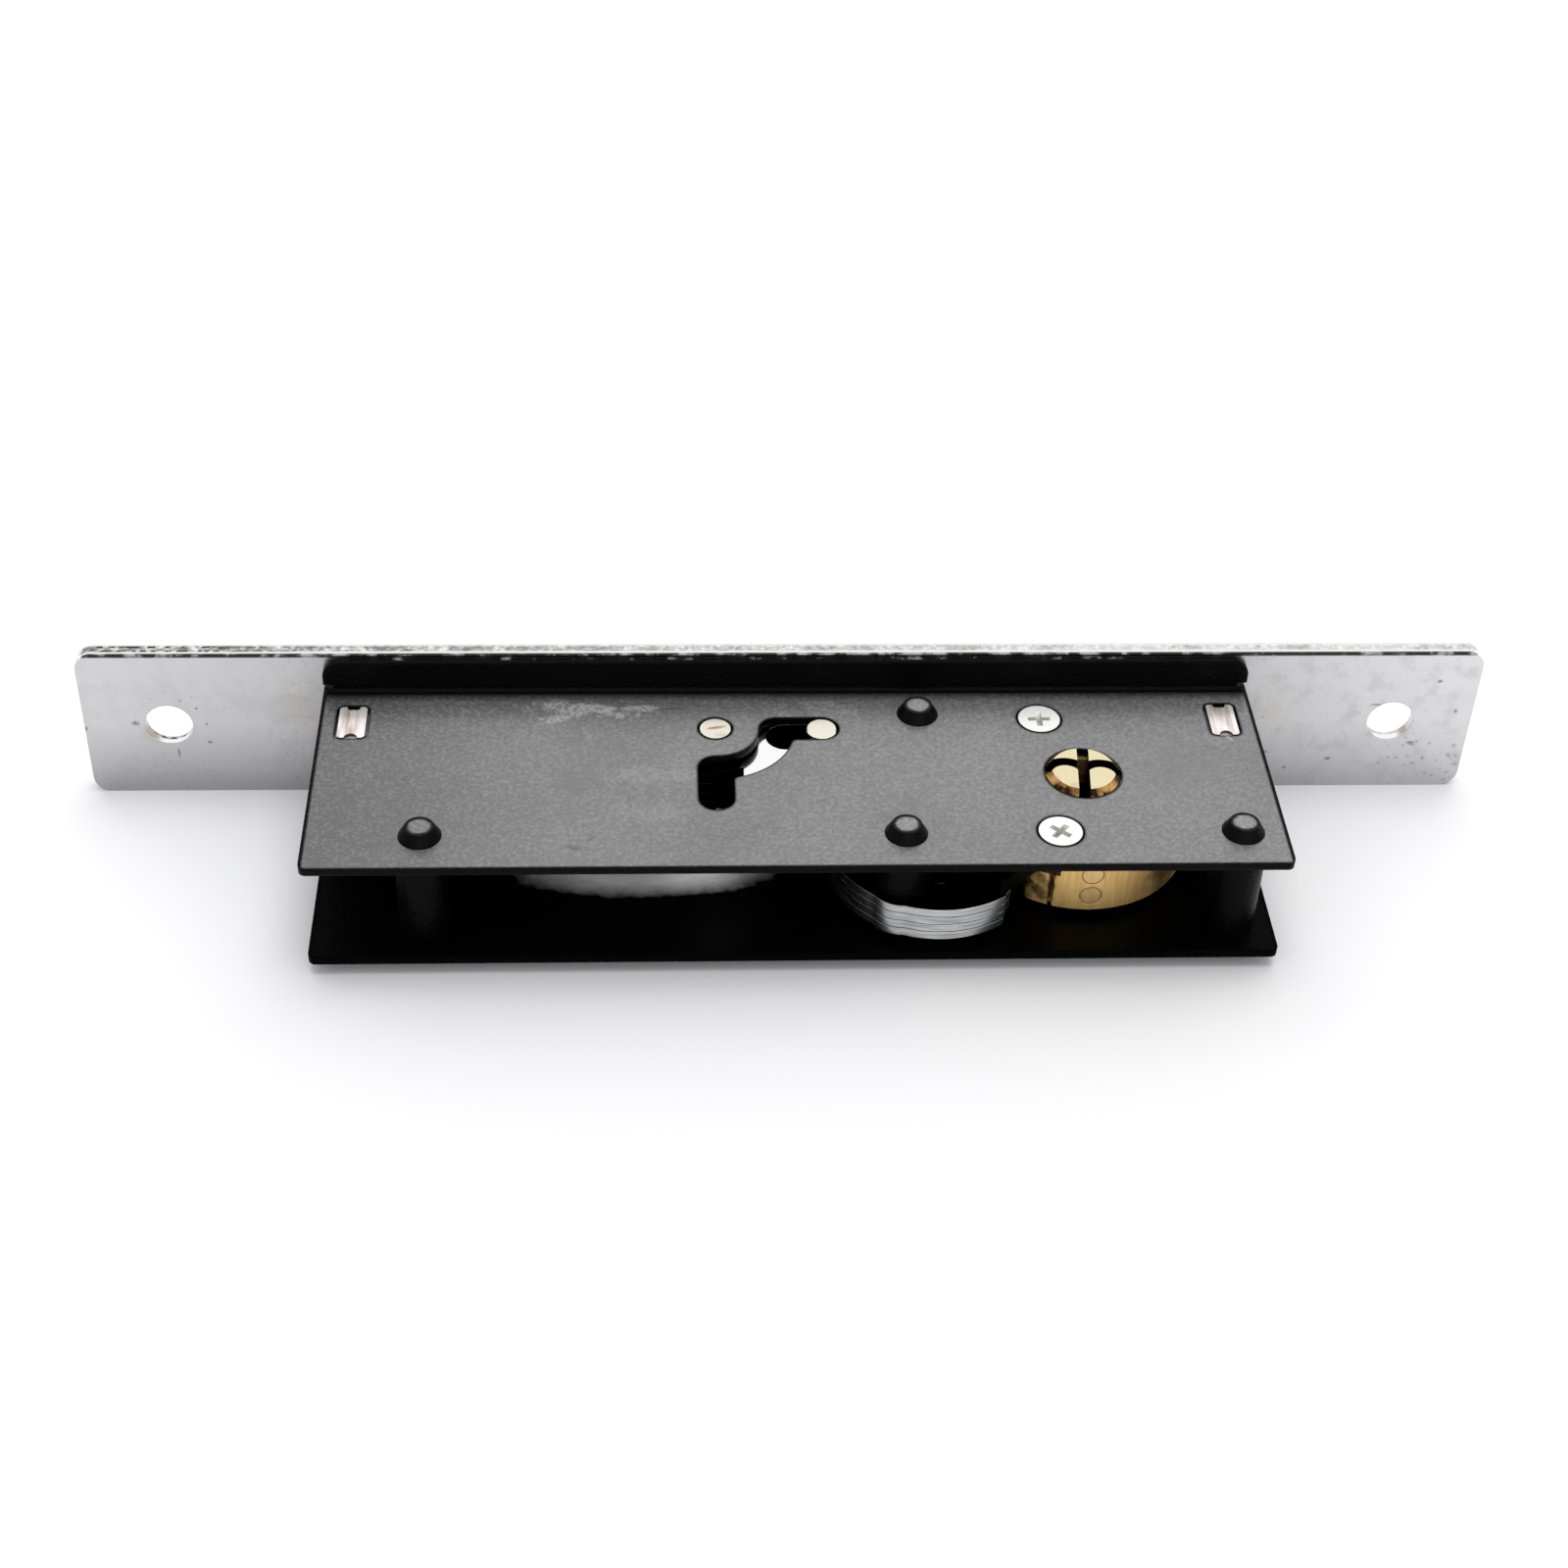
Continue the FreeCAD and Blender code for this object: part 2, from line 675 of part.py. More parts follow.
def cylinder_plug():
    """Plug with a chamfered head that stands in the upper plate's key hole."""
    z0 = case_z0 + plug_below - plate_t
    clip_z0, clip_z1 = clip_z()
    neck_r = plug_r - clip_w / 2
    low = (plug_r, plug_r, z0, clip_z0)
    neck = (neck_r, neck_r, clip_z0, clip_z1)
    high = (plug_r, plug_r, clip_z1, inner_z1 + run_clear)
    head_r = key_hole_r - plug_head_gap
    head = (head_r, head_r, high[3], case_z1)
    face = (head_r, head_r - plug_chamfer, case_z1, case_z1 + plug_rise)
    plug = turned(CYLINDER, [low, neck, high, head, face])
    seat = box(-plug_r, 0, -cam_w / 2, cam_w / 2, cam_z0, cam_z1)
    seat.rotate(at(0, 0), UP, cam_rest_deg() - 180)
    seat.translate(CYLINDER)
    return plug.cut([keyway(), seat])


def cam_rest_deg():
    """Direction of the cam's arm at rest: it points at the lever's peg."""
    gap = peg_spot() - CYLINDER
    return math.degrees(math.atan2(gap.y, gap.x)) % 360


def cylinder_cam():
    """Forked arm that is set in a seat of the plug and embraces the lever's peg."""
    half = cam_w / 2
    arm = box(0, cam_reach, -half + seat_clear, half - seat_clear, cam_z0 + seat_clear, cam_z1 - seat_clear)
    arm = arm.cut(box(-half, keyway_core + wide_clear, -half, half, cam_z0, cam_z1))
    head = fork_w / 2
    arm = arm.fuse(box(fork_start, cam_reach, -head, head, cam_z0 + seat_clear, cam_z1 - seat_clear))
    arm = arm.removeSplitter()
    fork = box(cam_slot_start, cam_reach, -cam_slot_half, cam_slot_half, cam_z0, cam_z1)
    root = rod(at(cam_slot_start, 0), cam_slot_half, cam_z0, cam_z1)
    arm = arm.cut([fork, root])
    arm.rotate(at(0, 0), UP, cam_rest_deg())
    arm.translate(CYLINDER)
    return arm


def plug_clip():
    clip_z0, clip_z1 = clip_z()
    neck_r = plug_r - clip_w / 2
    ring = rod(CYLINDER, neck_r + clip_w, clip_z0 + seat_clear, clip_z1 - seat_clear)
    ring = ring.cut(rod(CYLINDER, neck_r + seat_clear, clip_z0, clip_z1))
    side = clip_mouth_deg / 2
    mouth = sector(CYLINDER, plug_r + clip_w, 90 - side, 90 + side, clip_z0, clip_z1)
    return ring.cut(mouth)


def cylinder_screws():
    """Two countersunk screws with cross recesses, flush in the upper plate."""
    screws = []
    for spot, turn in zip(screw_spots(), screw_turns):
        mouth = at(spot.x, spot.y, case_z1)
        head_low = case_z1 - plate_t
        cone = (screw_r, screw_head_r, head_low, case_z1)
        shank = (screw_r, screw_r, case_z1 - screw_len, head_low)
        screw = turned(spot, [shank, cone])
        screws.append(screw.cut(cross_recess(mouth, at(0, 0, -1), turn)))
    return Part.makeCompound(screws)


def build():
    posts = post_spots()
    nodes = {
        "faceplate": faceplate(),
        "upper_case_plate": upper_case_plate(),
        "lower_case_plate": lower_case_plate(),
        "end_block_left": end_block(block_xs[0]),
        "end_block_right": end_block(block_xs[1]),
        "faceplate_screws": faceplate_screws(),
        "spacer_post_left": spacer_post(posts[0]),
        "spacer_post_rear": spacer_post(posts[1]),
        "spacer_post_right": spacer_post(posts[3]),
        "lever_pivot_post": lever_pivot_post(),
        "hook_pivot_pin": hook_pivot_pin(),
        "hook_rivets": hook_rivets(),
        "lever_rivet": lever_rivet(),
        "lever_peg": lever_peg(),
        "throw_pin": throw_pin(),
        "throw_pin_roller": throw_pin_roller(),
        "cylinder_body": cylinder_body(),
        "cylinder_plug": cylinder_plug(),
        "cylinder_cam": cylinder_cam(),
        "plug_clip": plug_clip(),
        "chamber_plugs": chamber_plugs(),
        "cylinder_screws": cylinder_screws(),
    }
    for index in range(hook_plate_count):
        nodes["hook_plate_%d" % (index + 1)] = hook_plate(index)
    for index in range(lever_plate_count):
        nodes["lever_plate_%d" % (index + 1)] = lever_plate(index)
    return nodes


os.makedirs("parts", exist_ok=True)
for name, shape in build().items():
    shape.exportStep("parts/%s.step" % name)
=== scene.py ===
import bpy
import json
import math
from mathutils import Matrix, Vector


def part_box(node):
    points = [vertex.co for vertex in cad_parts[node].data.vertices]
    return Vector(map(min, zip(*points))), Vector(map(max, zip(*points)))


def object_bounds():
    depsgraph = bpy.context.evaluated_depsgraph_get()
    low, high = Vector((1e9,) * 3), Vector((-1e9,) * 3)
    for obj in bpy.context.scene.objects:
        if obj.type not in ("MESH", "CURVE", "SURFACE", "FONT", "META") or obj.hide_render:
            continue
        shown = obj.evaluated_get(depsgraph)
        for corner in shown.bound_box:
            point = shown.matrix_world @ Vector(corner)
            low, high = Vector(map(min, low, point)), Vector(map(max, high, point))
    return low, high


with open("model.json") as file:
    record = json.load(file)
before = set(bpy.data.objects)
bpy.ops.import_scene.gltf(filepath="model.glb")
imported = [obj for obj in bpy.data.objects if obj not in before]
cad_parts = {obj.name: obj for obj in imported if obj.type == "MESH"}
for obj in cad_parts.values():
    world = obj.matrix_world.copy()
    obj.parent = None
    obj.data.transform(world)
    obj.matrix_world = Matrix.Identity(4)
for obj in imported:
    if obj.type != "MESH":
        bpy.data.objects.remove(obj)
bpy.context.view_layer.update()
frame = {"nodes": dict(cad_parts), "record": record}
nodes = frame["nodes"]
mm = 0.001

# Table and light.
# The lock lies flat on a white table, on the long edge of its faceplate and on its lower rivet heads.
# Broad soft lamps hang behind it and overhead, and a weak one in front looks into the open case.
table_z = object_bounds()[0].z
table_size = 3.0
table_white = (0.85, 0.85, 0.855, 1.0)
glow_starts = 0.09
glow_full = 0.26
glow_strength = 0.36
room_tone = (0.98, 0.98, 1.0, 1.0)
room_strength = 0.63
pure_white = (1.0, 1.0, 1.0, 1.0)
lamp_target = Vector((0.0, 0.0, 0.0))

# Only the front lamp shows in the polished metal, since the others would clip it to white.
lamp_specs = {
    "lamp_behind": {"size": (2.8, 1.5), "place": (0.0, 1.10, 0.95), "power": 11.0, "mirrored": False},
    "lamp_front": {"size": (1.6, 0.5), "place": (0.25, -1.25, 0.42), "power": 3.5, "mirrored": True},
    "lamp_above": {"size": (1.0, 1.0), "place": (0.10, 0.05, 1.45), "power": 10.0, "mirrored": False},
}


def add(tree, kind, links=None, **values):
    """New node: values set its properties or unlinked inputs, links join its inputs to outputs."""
    node = tree.nodes.new(kind)
    for key, value in values.items():
        if hasattr(node, key):
            setattr(node, key, value)
        else:
            node.inputs[key.replace("_", " ")].default_value = value
    for name, source in (links or {}).items():
        tree.links.new(source, node.inputs[name])
    return node


def new_material(name):
    """Node material with only its output."""
    material = bpy.data.materials.new(name)
    material.use_nodes = True
    tree = material.node_tree
    tree.nodes.clear()
    return material, tree, tree.nodes.new("ShaderNodeOutputMaterial")


def seen_or_mirrored(tree):
    """1 for what the camera sees, also in a mirror or through glass, 0 for light on its way to a surface."""
    path = add(tree, "ShaderNodeLightPath").outputs
    mirrored = add(tree, "ShaderNodeMath", {0: path["Is Camera Ray"], 1: path["Is Glossy Ray"]},
                   operation="MAXIMUM").outputs[0]
    return add(tree, "ShaderNodeMath", {0: mirrored, 1: path["Is Transmission Ray"]},
               operation="MAXIMUM").outputs[0]


for lamp_name, spec in lamp_specs.items():
    lamp = bpy.data.lights.new(lamp_name, "AREA")
    lamp.shape = "RECTANGLE"
    lamp.size, lamp.size_y = spec["size"]
    lamp.energy = spec["power"]
    lamp_object = bpy.data.objects.new(lamp_name, lamp)
    lamp_object.visible_glossy = spec["mirrored"]
    bpy.context.scene.collection.objects.link(lamp_object)
    lamp_place = Vector(spec["place"])
    lamp_object.location = lamp_place
    lamp_object.rotation_euler = (lamp_target - lamp_place).to_track_quat("-Z", "Y").to_euler()

world = bpy.data.worlds.new("studio")
bpy.context.scene.world = world
world.use_nodes = True
tree = world.node_tree
tree.nodes.clear()
output = tree.nodes.new("ShaderNodeOutputWorld")
room_light = add(tree, "ShaderNodeBackground", Color=room_tone, Strength=room_strength)
white_view = add(tree, "ShaderNodeBackground", Color=pure_white, Strength=1.0)
world_mix = add(tree, "ShaderNodeMixShader",
                {0: seen_or_mirrored(tree), 1: room_light.outputs[0], 2: white_view.outputs[0]})
tree.links.new(world_mix.outputs[0], output.inputs["Surface"])

half_table = table_size / 2
table_corners = [(-half_table, -half_table), (half_table, -half_table),
                 (half_table, half_table), (-half_table, half_table)]
table_mesh = bpy.data.meshes.new("table")
table_mesh.from_pydata([(x, y, table_z) for x, y in table_corners], [], [(0, 1, 2, 3)])
table = bpy.data.objects.new("table", table_mesh)
bpy.context.scene.collection.objects.link(table)
table_top, tree, output = new_material("white_table")
table_place = add(tree, "ShaderNodeTexCoord").outputs["Object"]
far_off = add(tree, "ShaderNodeVectorMath", {0: table_place}, operation="LENGTH").outputs["Value"]
brighter = add(tree, "ShaderNodeMapRange", {"Value": far_off}, interpolation_type="SMOOTHSTEP",
               From_Min=glow_starts, From_Max=glow_full, To_Max=glow_strength)
cloth = add(tree, "ShaderNodeBsdfDiffuse", Color=table_white).outputs[0]
glow = add(tree, "ShaderNodeEmission", {"Strength": brighter.outputs[0]}).outputs[0]
glowing_cloth = add(tree, "ShaderNodeAddShader", {0: cloth, 1: glow}).outputs[0]
table_mix = add(tree, "ShaderNodeMixShader", {0: seen_or_mirrored(tree), 1: cloth, 2: glowing_cloth})
tree.links.new(table_mix.outputs[0], output.inputs["Surface"])
table_mesh.materials.append(table_top)

# Camera.
# It looks down on the open front of the case, a little from the left of square, as the photograph does.
# Its place was fitted to the edges of the faceplate and to the front corners of both case plates.
view_azimuth = math.radians(3.942)
view_elevation = math.radians(39.594)
view_roll = math.radians(-2.256)
view_distance = 455.1 * mm
view_centre = Vector((0.0, 0.0, -14.65 * mm))
view_shift_right = 0.09 * mm
view_shift_up = -0.62 * mm
lens_mm = 59.17
sensor_mm = 36.0
clip_start = 0.01
swing = Matrix.Rotation(-view_azimuth, 3, "Z")
cos_roll, sin_roll = math.cos(view_roll), math.sin(view_roll)
cos_up, sin_up = math.cos(view_elevation), math.sin(view_elevation)
right = swing @ Vector((cos_roll, -sin_roll * sin_up, -sin_roll * cos_up))
up = swing @ Vector((sin_roll, cos_roll * sin_up, cos_roll * cos_up))
forward = swing @ Vector((0.0, cos_up, -sin_up))
eye = view_centre - right * view_shift_right - up * view_shift_up - forward * view_distance
camera = bpy.data.cameras.new("photo_camera")
camera.sensor_width = sensor_mm
camera.lens = lens_mm
camera.clip_start = clip_start
camera_object = bpy.data.objects.new("photo_camera", camera)
bpy.context.scene.collection.objects.link(camera_object)
camera_object.matrix_world = Matrix.Translation(eye) @ Matrix((right, up, -forward)).transposed().to_4x4()
bpy.context.scene.camera = camera_object
bpy.context.scene.view_settings.view_transform = "Standard"

# Faceplate.
# One strip of steel with satin chrome plating, sheared along its long edges and rounded at its corners.
# Small pits and grey smears show in the plating, and dark nicks along the sheared edges.
sharp_from = math.radians(28.0)
joined_within = 1e-6
face_edge_r = 0.25 * mm
face_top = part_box("faceplate")[1].z
hole_x = frame["record"]["mounts"][0]["dims"]["spacing_x_mm"] / 2
chrome_clean = (0.60, 0.60, 0.61, 1.0)
chrome_smeared = (0.53, 0.53, 0.535, 1.0)
# Painted shade: the plating's tones towards its lower edge, where it mirrors the shaded table.
shaded_low_chrome_clean = (0.42, 0.42, 0.43, 1.0)
shaded_low_chrome_smeared = (0.385, 0.385, 0.39, 1.0)
warm_tone = (0.60, 0.50, 0.36, 1.0)
right_end_tone = (0.86, 0.86, 0.87, 1.0)
cloud_tone = (0.40, 0.40, 0.395, 1.0)
pit_tone = (0.30, 0.295, 0.29, 1.0)
chip_tone = (0.16, 0.15, 0.14, 1.0)
# Near white on faces that look up: pale sheared steel, lifted by a painted highlight.
sheared_and_highlight_tone = (0.94, 0.94, 0.94, 1.0)
mottle_tone = (0.34, 0.335, 0.33, 1.0)
stain_tone = (0.36, 0.27, 0.18, 1.0)
nick_tone = (0.03, 0.029, 0.028, 1.0)
edge_line_tone = (0.03, 0.028, 0.026, 1.0)
chips_share = 0.9
warm_share = 0.25
right_end_share = 0.27
stain_share = 0.7
stain_rim_share = 0.35
chrome_roughness = (0.24, 0.40)

# Where each effect sets in and where it is full.
low_shade_z = (0.0, -13.0 * mm)
right_end_x = (76.0 * mm, 105.0 * mm)
clouds_right_x = (50.0 * mm, 90.0 * mm)
pits_right_x = (20.0 * mm, 100.0 * mm)
mottle_left_x = (60.0 * mm, -100.0 * mm)
nicks_left_x = (-40.0 * mm, -90.0 * mm)
dashes_left_x = (-70.0 * mm, -100.0 * mm)
hole_wall_y = (0.05 * mm, 0.15 * mm)
edge_line_z = (face_top - 0.6 * mm, face_top - 0.35 * mm)
edge_line_y = (0.75 * mm, 0.35 * mm)

# Bands along the sheared edge, each by the places where it is 0 and 1 on its two sides, in mm.
edge_middle_band = ((0.9, 1.3), (2.9, 2.3))
inner_row_band = ((0.9, 1.15), (1.6, 1.35))
outer_row_band = ((1.95, 2.2), (2.75, 2.5))

# Chips and dark specks on the inner face: X, Z, half length, half width, in mm.
chips = [
    (-103.3, 5.1, 0.3, 0.2),
    (-100.7, 3.4, 0.4, 0.3),
    (-99.3, 0.0, 0.3, 0.3),
    (-99.2, -3.9, 0.5, 0.35),
    (-104.7, -6.2, 0.25, 1.0),
    (-111.4, 0.2, 0.9, 0.6),
    (-119.8, -0.9, 0.35, 0.7),
    (88.5, -10.5, 0.5, 0.4),
    (84.5, -7.0, 0.8, 0.5),
    (96.0, -8.6, 0.7, 0.5),
    (110.2, -5.0, 1.1, 0.6),
    (113.0, 8.6, 0.6, 0.5),
    (103.0, 3.5, 1.6, 0.3),
    (117.0, 2.0, 0.4, 0.6),
]

# Faint warm patches beside the case, and brown stains at the rims of the holes, in the same order.
warm_spots = [
    (-83.0, 4.0, 5.0, 9.0),
    (84.0, 2.0, 5.0, 9.0),
]
stain_spots = [
    (-hole_x - 3.2, -2.4, 2.3, 2.2),
    (hole_x + 2.6, -2.6, 1.9, 1.6),
    (hole_x - 2.9, -3.0, 1.2, 1.0),
]


def new_group(name, inputs, output_name="Mask", output_kind="NodeSocketFloat"):
    """Shader node group with one output; inputs are (name, default), None for a vector."""
    group = bpy.data.node_groups.new(name, "ShaderNodeTree")
    for socket_name, default in inputs:
        kind = "NodeSocketVector" if default is None else "NodeSocketFloat"
        socket = group.interface.new_socket(name=socket_name, in_out="INPUT", socket_type=kind)
        if default is not None:
            socket.default_value = default
    group.interface.new_socket(name=output_name, in_out="OUTPUT", socket_type=output_kind)
    return group, group.nodes.new("NodeGroupInput").outputs, group.nodes.new("NodeGroupOutput").inputs


def use(tree, group, links=None, **values):
    """Output of a group node with its inputs set or linked."""
    node = tree.nodes.new("ShaderNodeGroup")
    node.node_tree = group
    for key, value in values.items():
        node.inputs[key.replace("_", " ")].default_value = value
    for name, source in (links or {}).items():
        tree.links.new(source, node.inputs[name])
    return node.outputs[0]


def place_on(tree):
    """Place on the piece, in metres."""
    return add(tree, "ShaderNodeTexCoord").outputs["Object"]


def axes_on(tree):
    """Outputs X, Y and Z of the place on the piece."""
    return add(tree, "ShaderNodeSeparateXYZ", {"Vector": place_on(tree)}).outputs


def front_on(tree):
    """Place on the piece as seen from the front, with its height as the second axis."""
    axes = axes_on(tree)
    return add(tree, "ShaderNodeCombineXYZ", {"X": axes["X"], "Y": axes["Z"]}).outputs[0]


def make_specks():
    """Mask of small scattered spots that gather in patches: 1 on a spot, 0 elsewhere."""
    inputs = [("Scale", 500.0), ("Share", 0.2), ("Patch Scale", 60.0)]
    group, given, result = new_group("scattered_specks", inputs)
    place = place_on(group)
    warp = add(group, "ShaderNodeTexNoise", {"Vector": place, "Scale": given["Scale"]}, Detail=1.0)
    bend = add(group, "ShaderNodeVectorMath", {0: warp.outputs["Color"]}, operation="SCALE", Scale=1.2 * mm)
    moved = add(group, "ShaderNodeVectorMath", {0: place, 1: bend.outputs[0]}, operation="ADD")
    cells = add(group, "ShaderNodeTexVoronoi", {"Vector": moved.outputs[0], "Scale": given["Scale"]})
    patch = add(group, "ShaderNodeTexNoise", {"Vector": place, "Scale": given["Patch Scale"]}, Detail=2.0)
    sparse = add(group, "ShaderNodeMapRange", {"Value": patch.outputs["Fac"]}, From_Min=0.42, From_Max=0.75)
    limit = add(group, "ShaderNodeMath", {0: sparse.outputs[0], 1: given["Share"]}, operation="MULTIPLY")
    off_centre = cells.outputs["Distance"]
    spot = add(group, "ShaderNodeMapRange", {"Value": off_centre, "From Max": limit.outputs[0]}, To_Min=1.0,
               To_Max=0.0)
    group.links.new(spot.outputs[0], result["Mask"])
    return group


def make_oval_mark():
    """Mask of one oval mark on a flat face: 1 inside, with a soft and ragged rim. Place gives its X and Y."""
    inputs = [("Place", None), ("X", 0.0), ("Y", 0.0), ("Half X", 5 * mm), ("Half Y", 2 * mm), ("Turn", 0.0),
              ("Core", 0.5), ("Ragged", 0.4), ("Ragged Scale", 400.0)]
    group, given, result = new_group("oval_mark", inputs)
    centre = add(group, "ShaderNodeCombineXYZ", {"X": given["X"], "Y": given["Y"]}).outputs[0]
    apart = add(group, "ShaderNodeVectorMath", {0: given["Place"], 1: centre}, operation="SUBTRACT")
    flat = add(group, "ShaderNodeVectorMath", {0: apart.outputs[0]}, operation="MULTIPLY")
    flat.inputs[1].default_value = (1.0, 1.0, 0.0)
    turned = add(group, "ShaderNodeVectorRotate", {"Vector": flat.outputs[0], "Angle": given["Turn"]})
    halves = add(group, "ShaderNodeCombineXYZ", {"X": given["Half X"], "Y": given["Half Y"]}, Z=1.0)
    scaled = add(group, "ShaderNodeVectorMath", {0: turned.outputs[0], 1: halves.outputs[0]},
                 operation="DIVIDE")
    reach = add(group, "ShaderNodeVectorMath", {0: scaled.outputs[0]}, operation="LENGTH").outputs["Value"]
    cloud = add(group, "ShaderNodeTexNoise", {"Vector": given["Place"], "Scale": given["Ragged Scale"]},
                Detail=5.0)
    about_zero = add(group, "ShaderNodeMath", {0: cloud.outputs["Fac"]}, operation="SUBTRACT")
    about_zero.inputs[1].default_value = 0.5
    ragged = add(group, "ShaderNodeMath", {0: about_zero.outputs[0], 1: given["Ragged"], 2: reach},
                 operation="MULTIPLY_ADD")
    mask = add(group, "ShaderNodeMapRange", {"Value": ragged.outputs[0], "From Max": given["Core"]},
               From_Min=1.0, To_Min=0.0, To_Max=1.0)
    group.links.new(mask.outputs[0], result["Mask"])
    return group


def make_relief():
    """Normal of a surface with softened edges and a fine grain."""
    inputs = [("Edge Radius", 0.2 * mm), ("Grain Scale", 900.0), ("Grain Depth", 0.1)]
    group, given, result = new_group("soft_edge_relief", inputs, "Normal", "NodeSocketVector")
    edge = add(group, "ShaderNodeBevel", {"Radius": given["Edge Radius"]}, samples=6)
    place = place_on(group)
    grain = add(group, "ShaderNodeTexNoise", {"Vector": place, "Scale": given["Grain Scale"]}, Detail=3.0)
    bump = add(group, "ShaderNodeBump", {"Height": grain.outputs["Fac"], "Strength": given["Grain Depth"],
                                         "Normal": edge.outputs[0]}, Distance=0.05 * mm)
    group.links.new(bump.outputs[0], result["Normal"])
    return group


def make_level_faces():
    """Mask of faces that look up: 1 on a level top, 0 on a wall."""
    group, given, result = new_group("level_faces", [("Start", 0.7), ("Full", 0.95)])
    facing = add(group, "ShaderNodeNewGeometry").outputs["Normal"]
    split = add(group, "ShaderNodeSeparateXYZ", {"Vector": facing})
    rise = add(group, "ShaderNodeMapRange", {"Value": split.outputs["Z"], "From Min": given["Start"],
                                             "From Max": given["Full"]})
    group.links.new(rise.outputs[0], result["Mask"])
    return group


def make_smears():
    """Mask of soft cloudy smears: 0 clean, 1 full."""
    group, given, result = new_group("soft_smears", [("Scale", 60.0), ("Start", 0.5), ("Full", 0.7)])
    place = place_on(group)
    cloud = add(group, "ShaderNodeTexNoise", {"Vector": place, "Scale": given["Scale"]}, Detail=6.0,
                Roughness=0.6)
    rise = add(group, "ShaderNodeMapRange", {"Value": cloud.outputs["Fac"], "From Min": given["Start"],
                                             "From Max": given["Full"]})
    group.links.new(rise.outputs[0], result["Mask"])
    return group


def make_smoothing():
    """Modifier tree that joins doubled points and shades round walls smooth, with sharp corners kept."""
    group = bpy.data.node_groups.new("smooth_round_walls", "GeometryNodeTree")
    group.interface.new_socket(name="Geometry", in_out="INPUT", socket_type="NodeSocketGeometry")
    group.interface.new_socket(name="Geometry", in_out="OUTPUT", socket_type="NodeSocketGeometry")
    given = group.nodes.new("NodeGroupInput").outputs
    result = group.nodes.new("NodeGroupOutput").inputs
    join = add(group, "GeometryNodeMergeByDistance", {"Geometry": given[0]}, Distance=joined_within)
    smooth = add(group, "GeometryNodeSetShadeSmooth", {"Geometry": join.outputs[0]}, domain="FACE")
    angle = add(group, "GeometryNodeInputMeshEdgeAngle").outputs["Unsigned Angle"]
    corner = add(group, "FunctionNodeCompare", {"A": angle}, operation="GREATER_THAN", B=sharp_from)
    sharp = add(group, "GeometryNodeSetShadeSmooth",
                {"Geometry": smooth.outputs[0], "Selection": corner.outputs[0]}, domain="EDGE",
                Shade_Smooth=False)
    group.links.new(sharp.outputs[0], result[0])
    return group


specks_group = make_specks()
relief_group = make_relief()
level_group = make_level_faces()
oval_group = make_oval_mark()
smears_group = make_smears()
smoothing_tree = make_smoothing()


def dress(names, material):
    """Puts a material on CAD nodes and shades their round walls smooth."""
    for name in names:
        obj = nodes[name]
        obj.data.materials.clear()
        obj.data.materials.append(material)
        shade = obj.modifiers.new("round_walls", "NODES")
        shade.node_group = smoothing_tree


def tint(tree, mask, base, over):
    """Colour that goes from base to over as the mask goes from 0 to 1."""
    blend = add(tree, "ShaderNodeMix", data_type="RGBA")
    for key, value in (("A", base), ("B", over)):
        socket = [s for s in blend.inputs if s.name == key and s.type == "RGBA"][0]
        if isinstance(value, tuple):
            socket.default_value = value
        else:
            tree.links.new(value, socket)
    factor = [s for s in blend.inputs if s.name == "Factor" and s.type == "VALUE"][0]
    tree.links.new(mask, factor)
    return [s for s in blend.outputs if s.type == "RGBA"][0]


def spread(tree, mask, low, high):
    """Value that goes from low to high as the mask goes from 0 to 1."""
    return add(tree, "ShaderNodeMapRange", {"Value": mask}, To_Min=low, To_Max=high).outputs[0]


def ramp(tree, value, start, full):
    """0 at start and 1 at full, with a straight run between."""
    return add(tree, "ShaderNodeMapRange", {"Value": value}, From_Min=start, From_Max=full).outputs[0]


def combine(tree, operation, masks):
    """Masks and plain numbers joined in turn by one operation, kept from 0 to 1."""
    whole = masks[0]
    for mask in masks[1:]:
        node = add(tree, "ShaderNodeMath", {0: whole}, operation=operation, use_clamp=True)
        if isinstance(mask, float):
            node.inputs[1].default_value = mask
        else:
            tree.links.new(mask, node.inputs[1])
        whole = node.outputs[0]
    return whole


def product(tree, *masks):
    return combine(tree, "MULTIPLY", masks)


def strongest(tree, *masks):
    return combine(tree, "MAXIMUM", masks)


def band(tree, value, rise, fall):
    """1 between two ramps, each given by the places where it is 0 and 1, in mm."""
    rising = ramp(tree, value, rise[0] * mm, rise[1] * mm)
    falling = ramp(tree, value, fall[0] * mm, fall[1] * mm)
    return product(tree, rising, falling)


def oval(tree, place, x, y, half_x, half_y, **look):
    """Mask of one oval mark, with its centre and half sizes in mm."""
    return use(tree, oval_group, {"Place": place}, X=x * mm, Y=y * mm, Half_X=half_x * mm, Half_Y=half_y * mm,
               **look)


def skin(tree, output, links, **values):
    """Principled surface with named inputs set or linked."""
    shader = add(tree, "ShaderNodeBsdfPrincipled", links, **values)
    tree.links.new(shader.outputs[0], output.inputs["Surface"])


plating, tree, output = new_material("faceplate_plating")
axes = axes_on(tree)
along, out, high = axes["X"], axes["Y"], axes["Z"]
inner_face = front_on(tree)
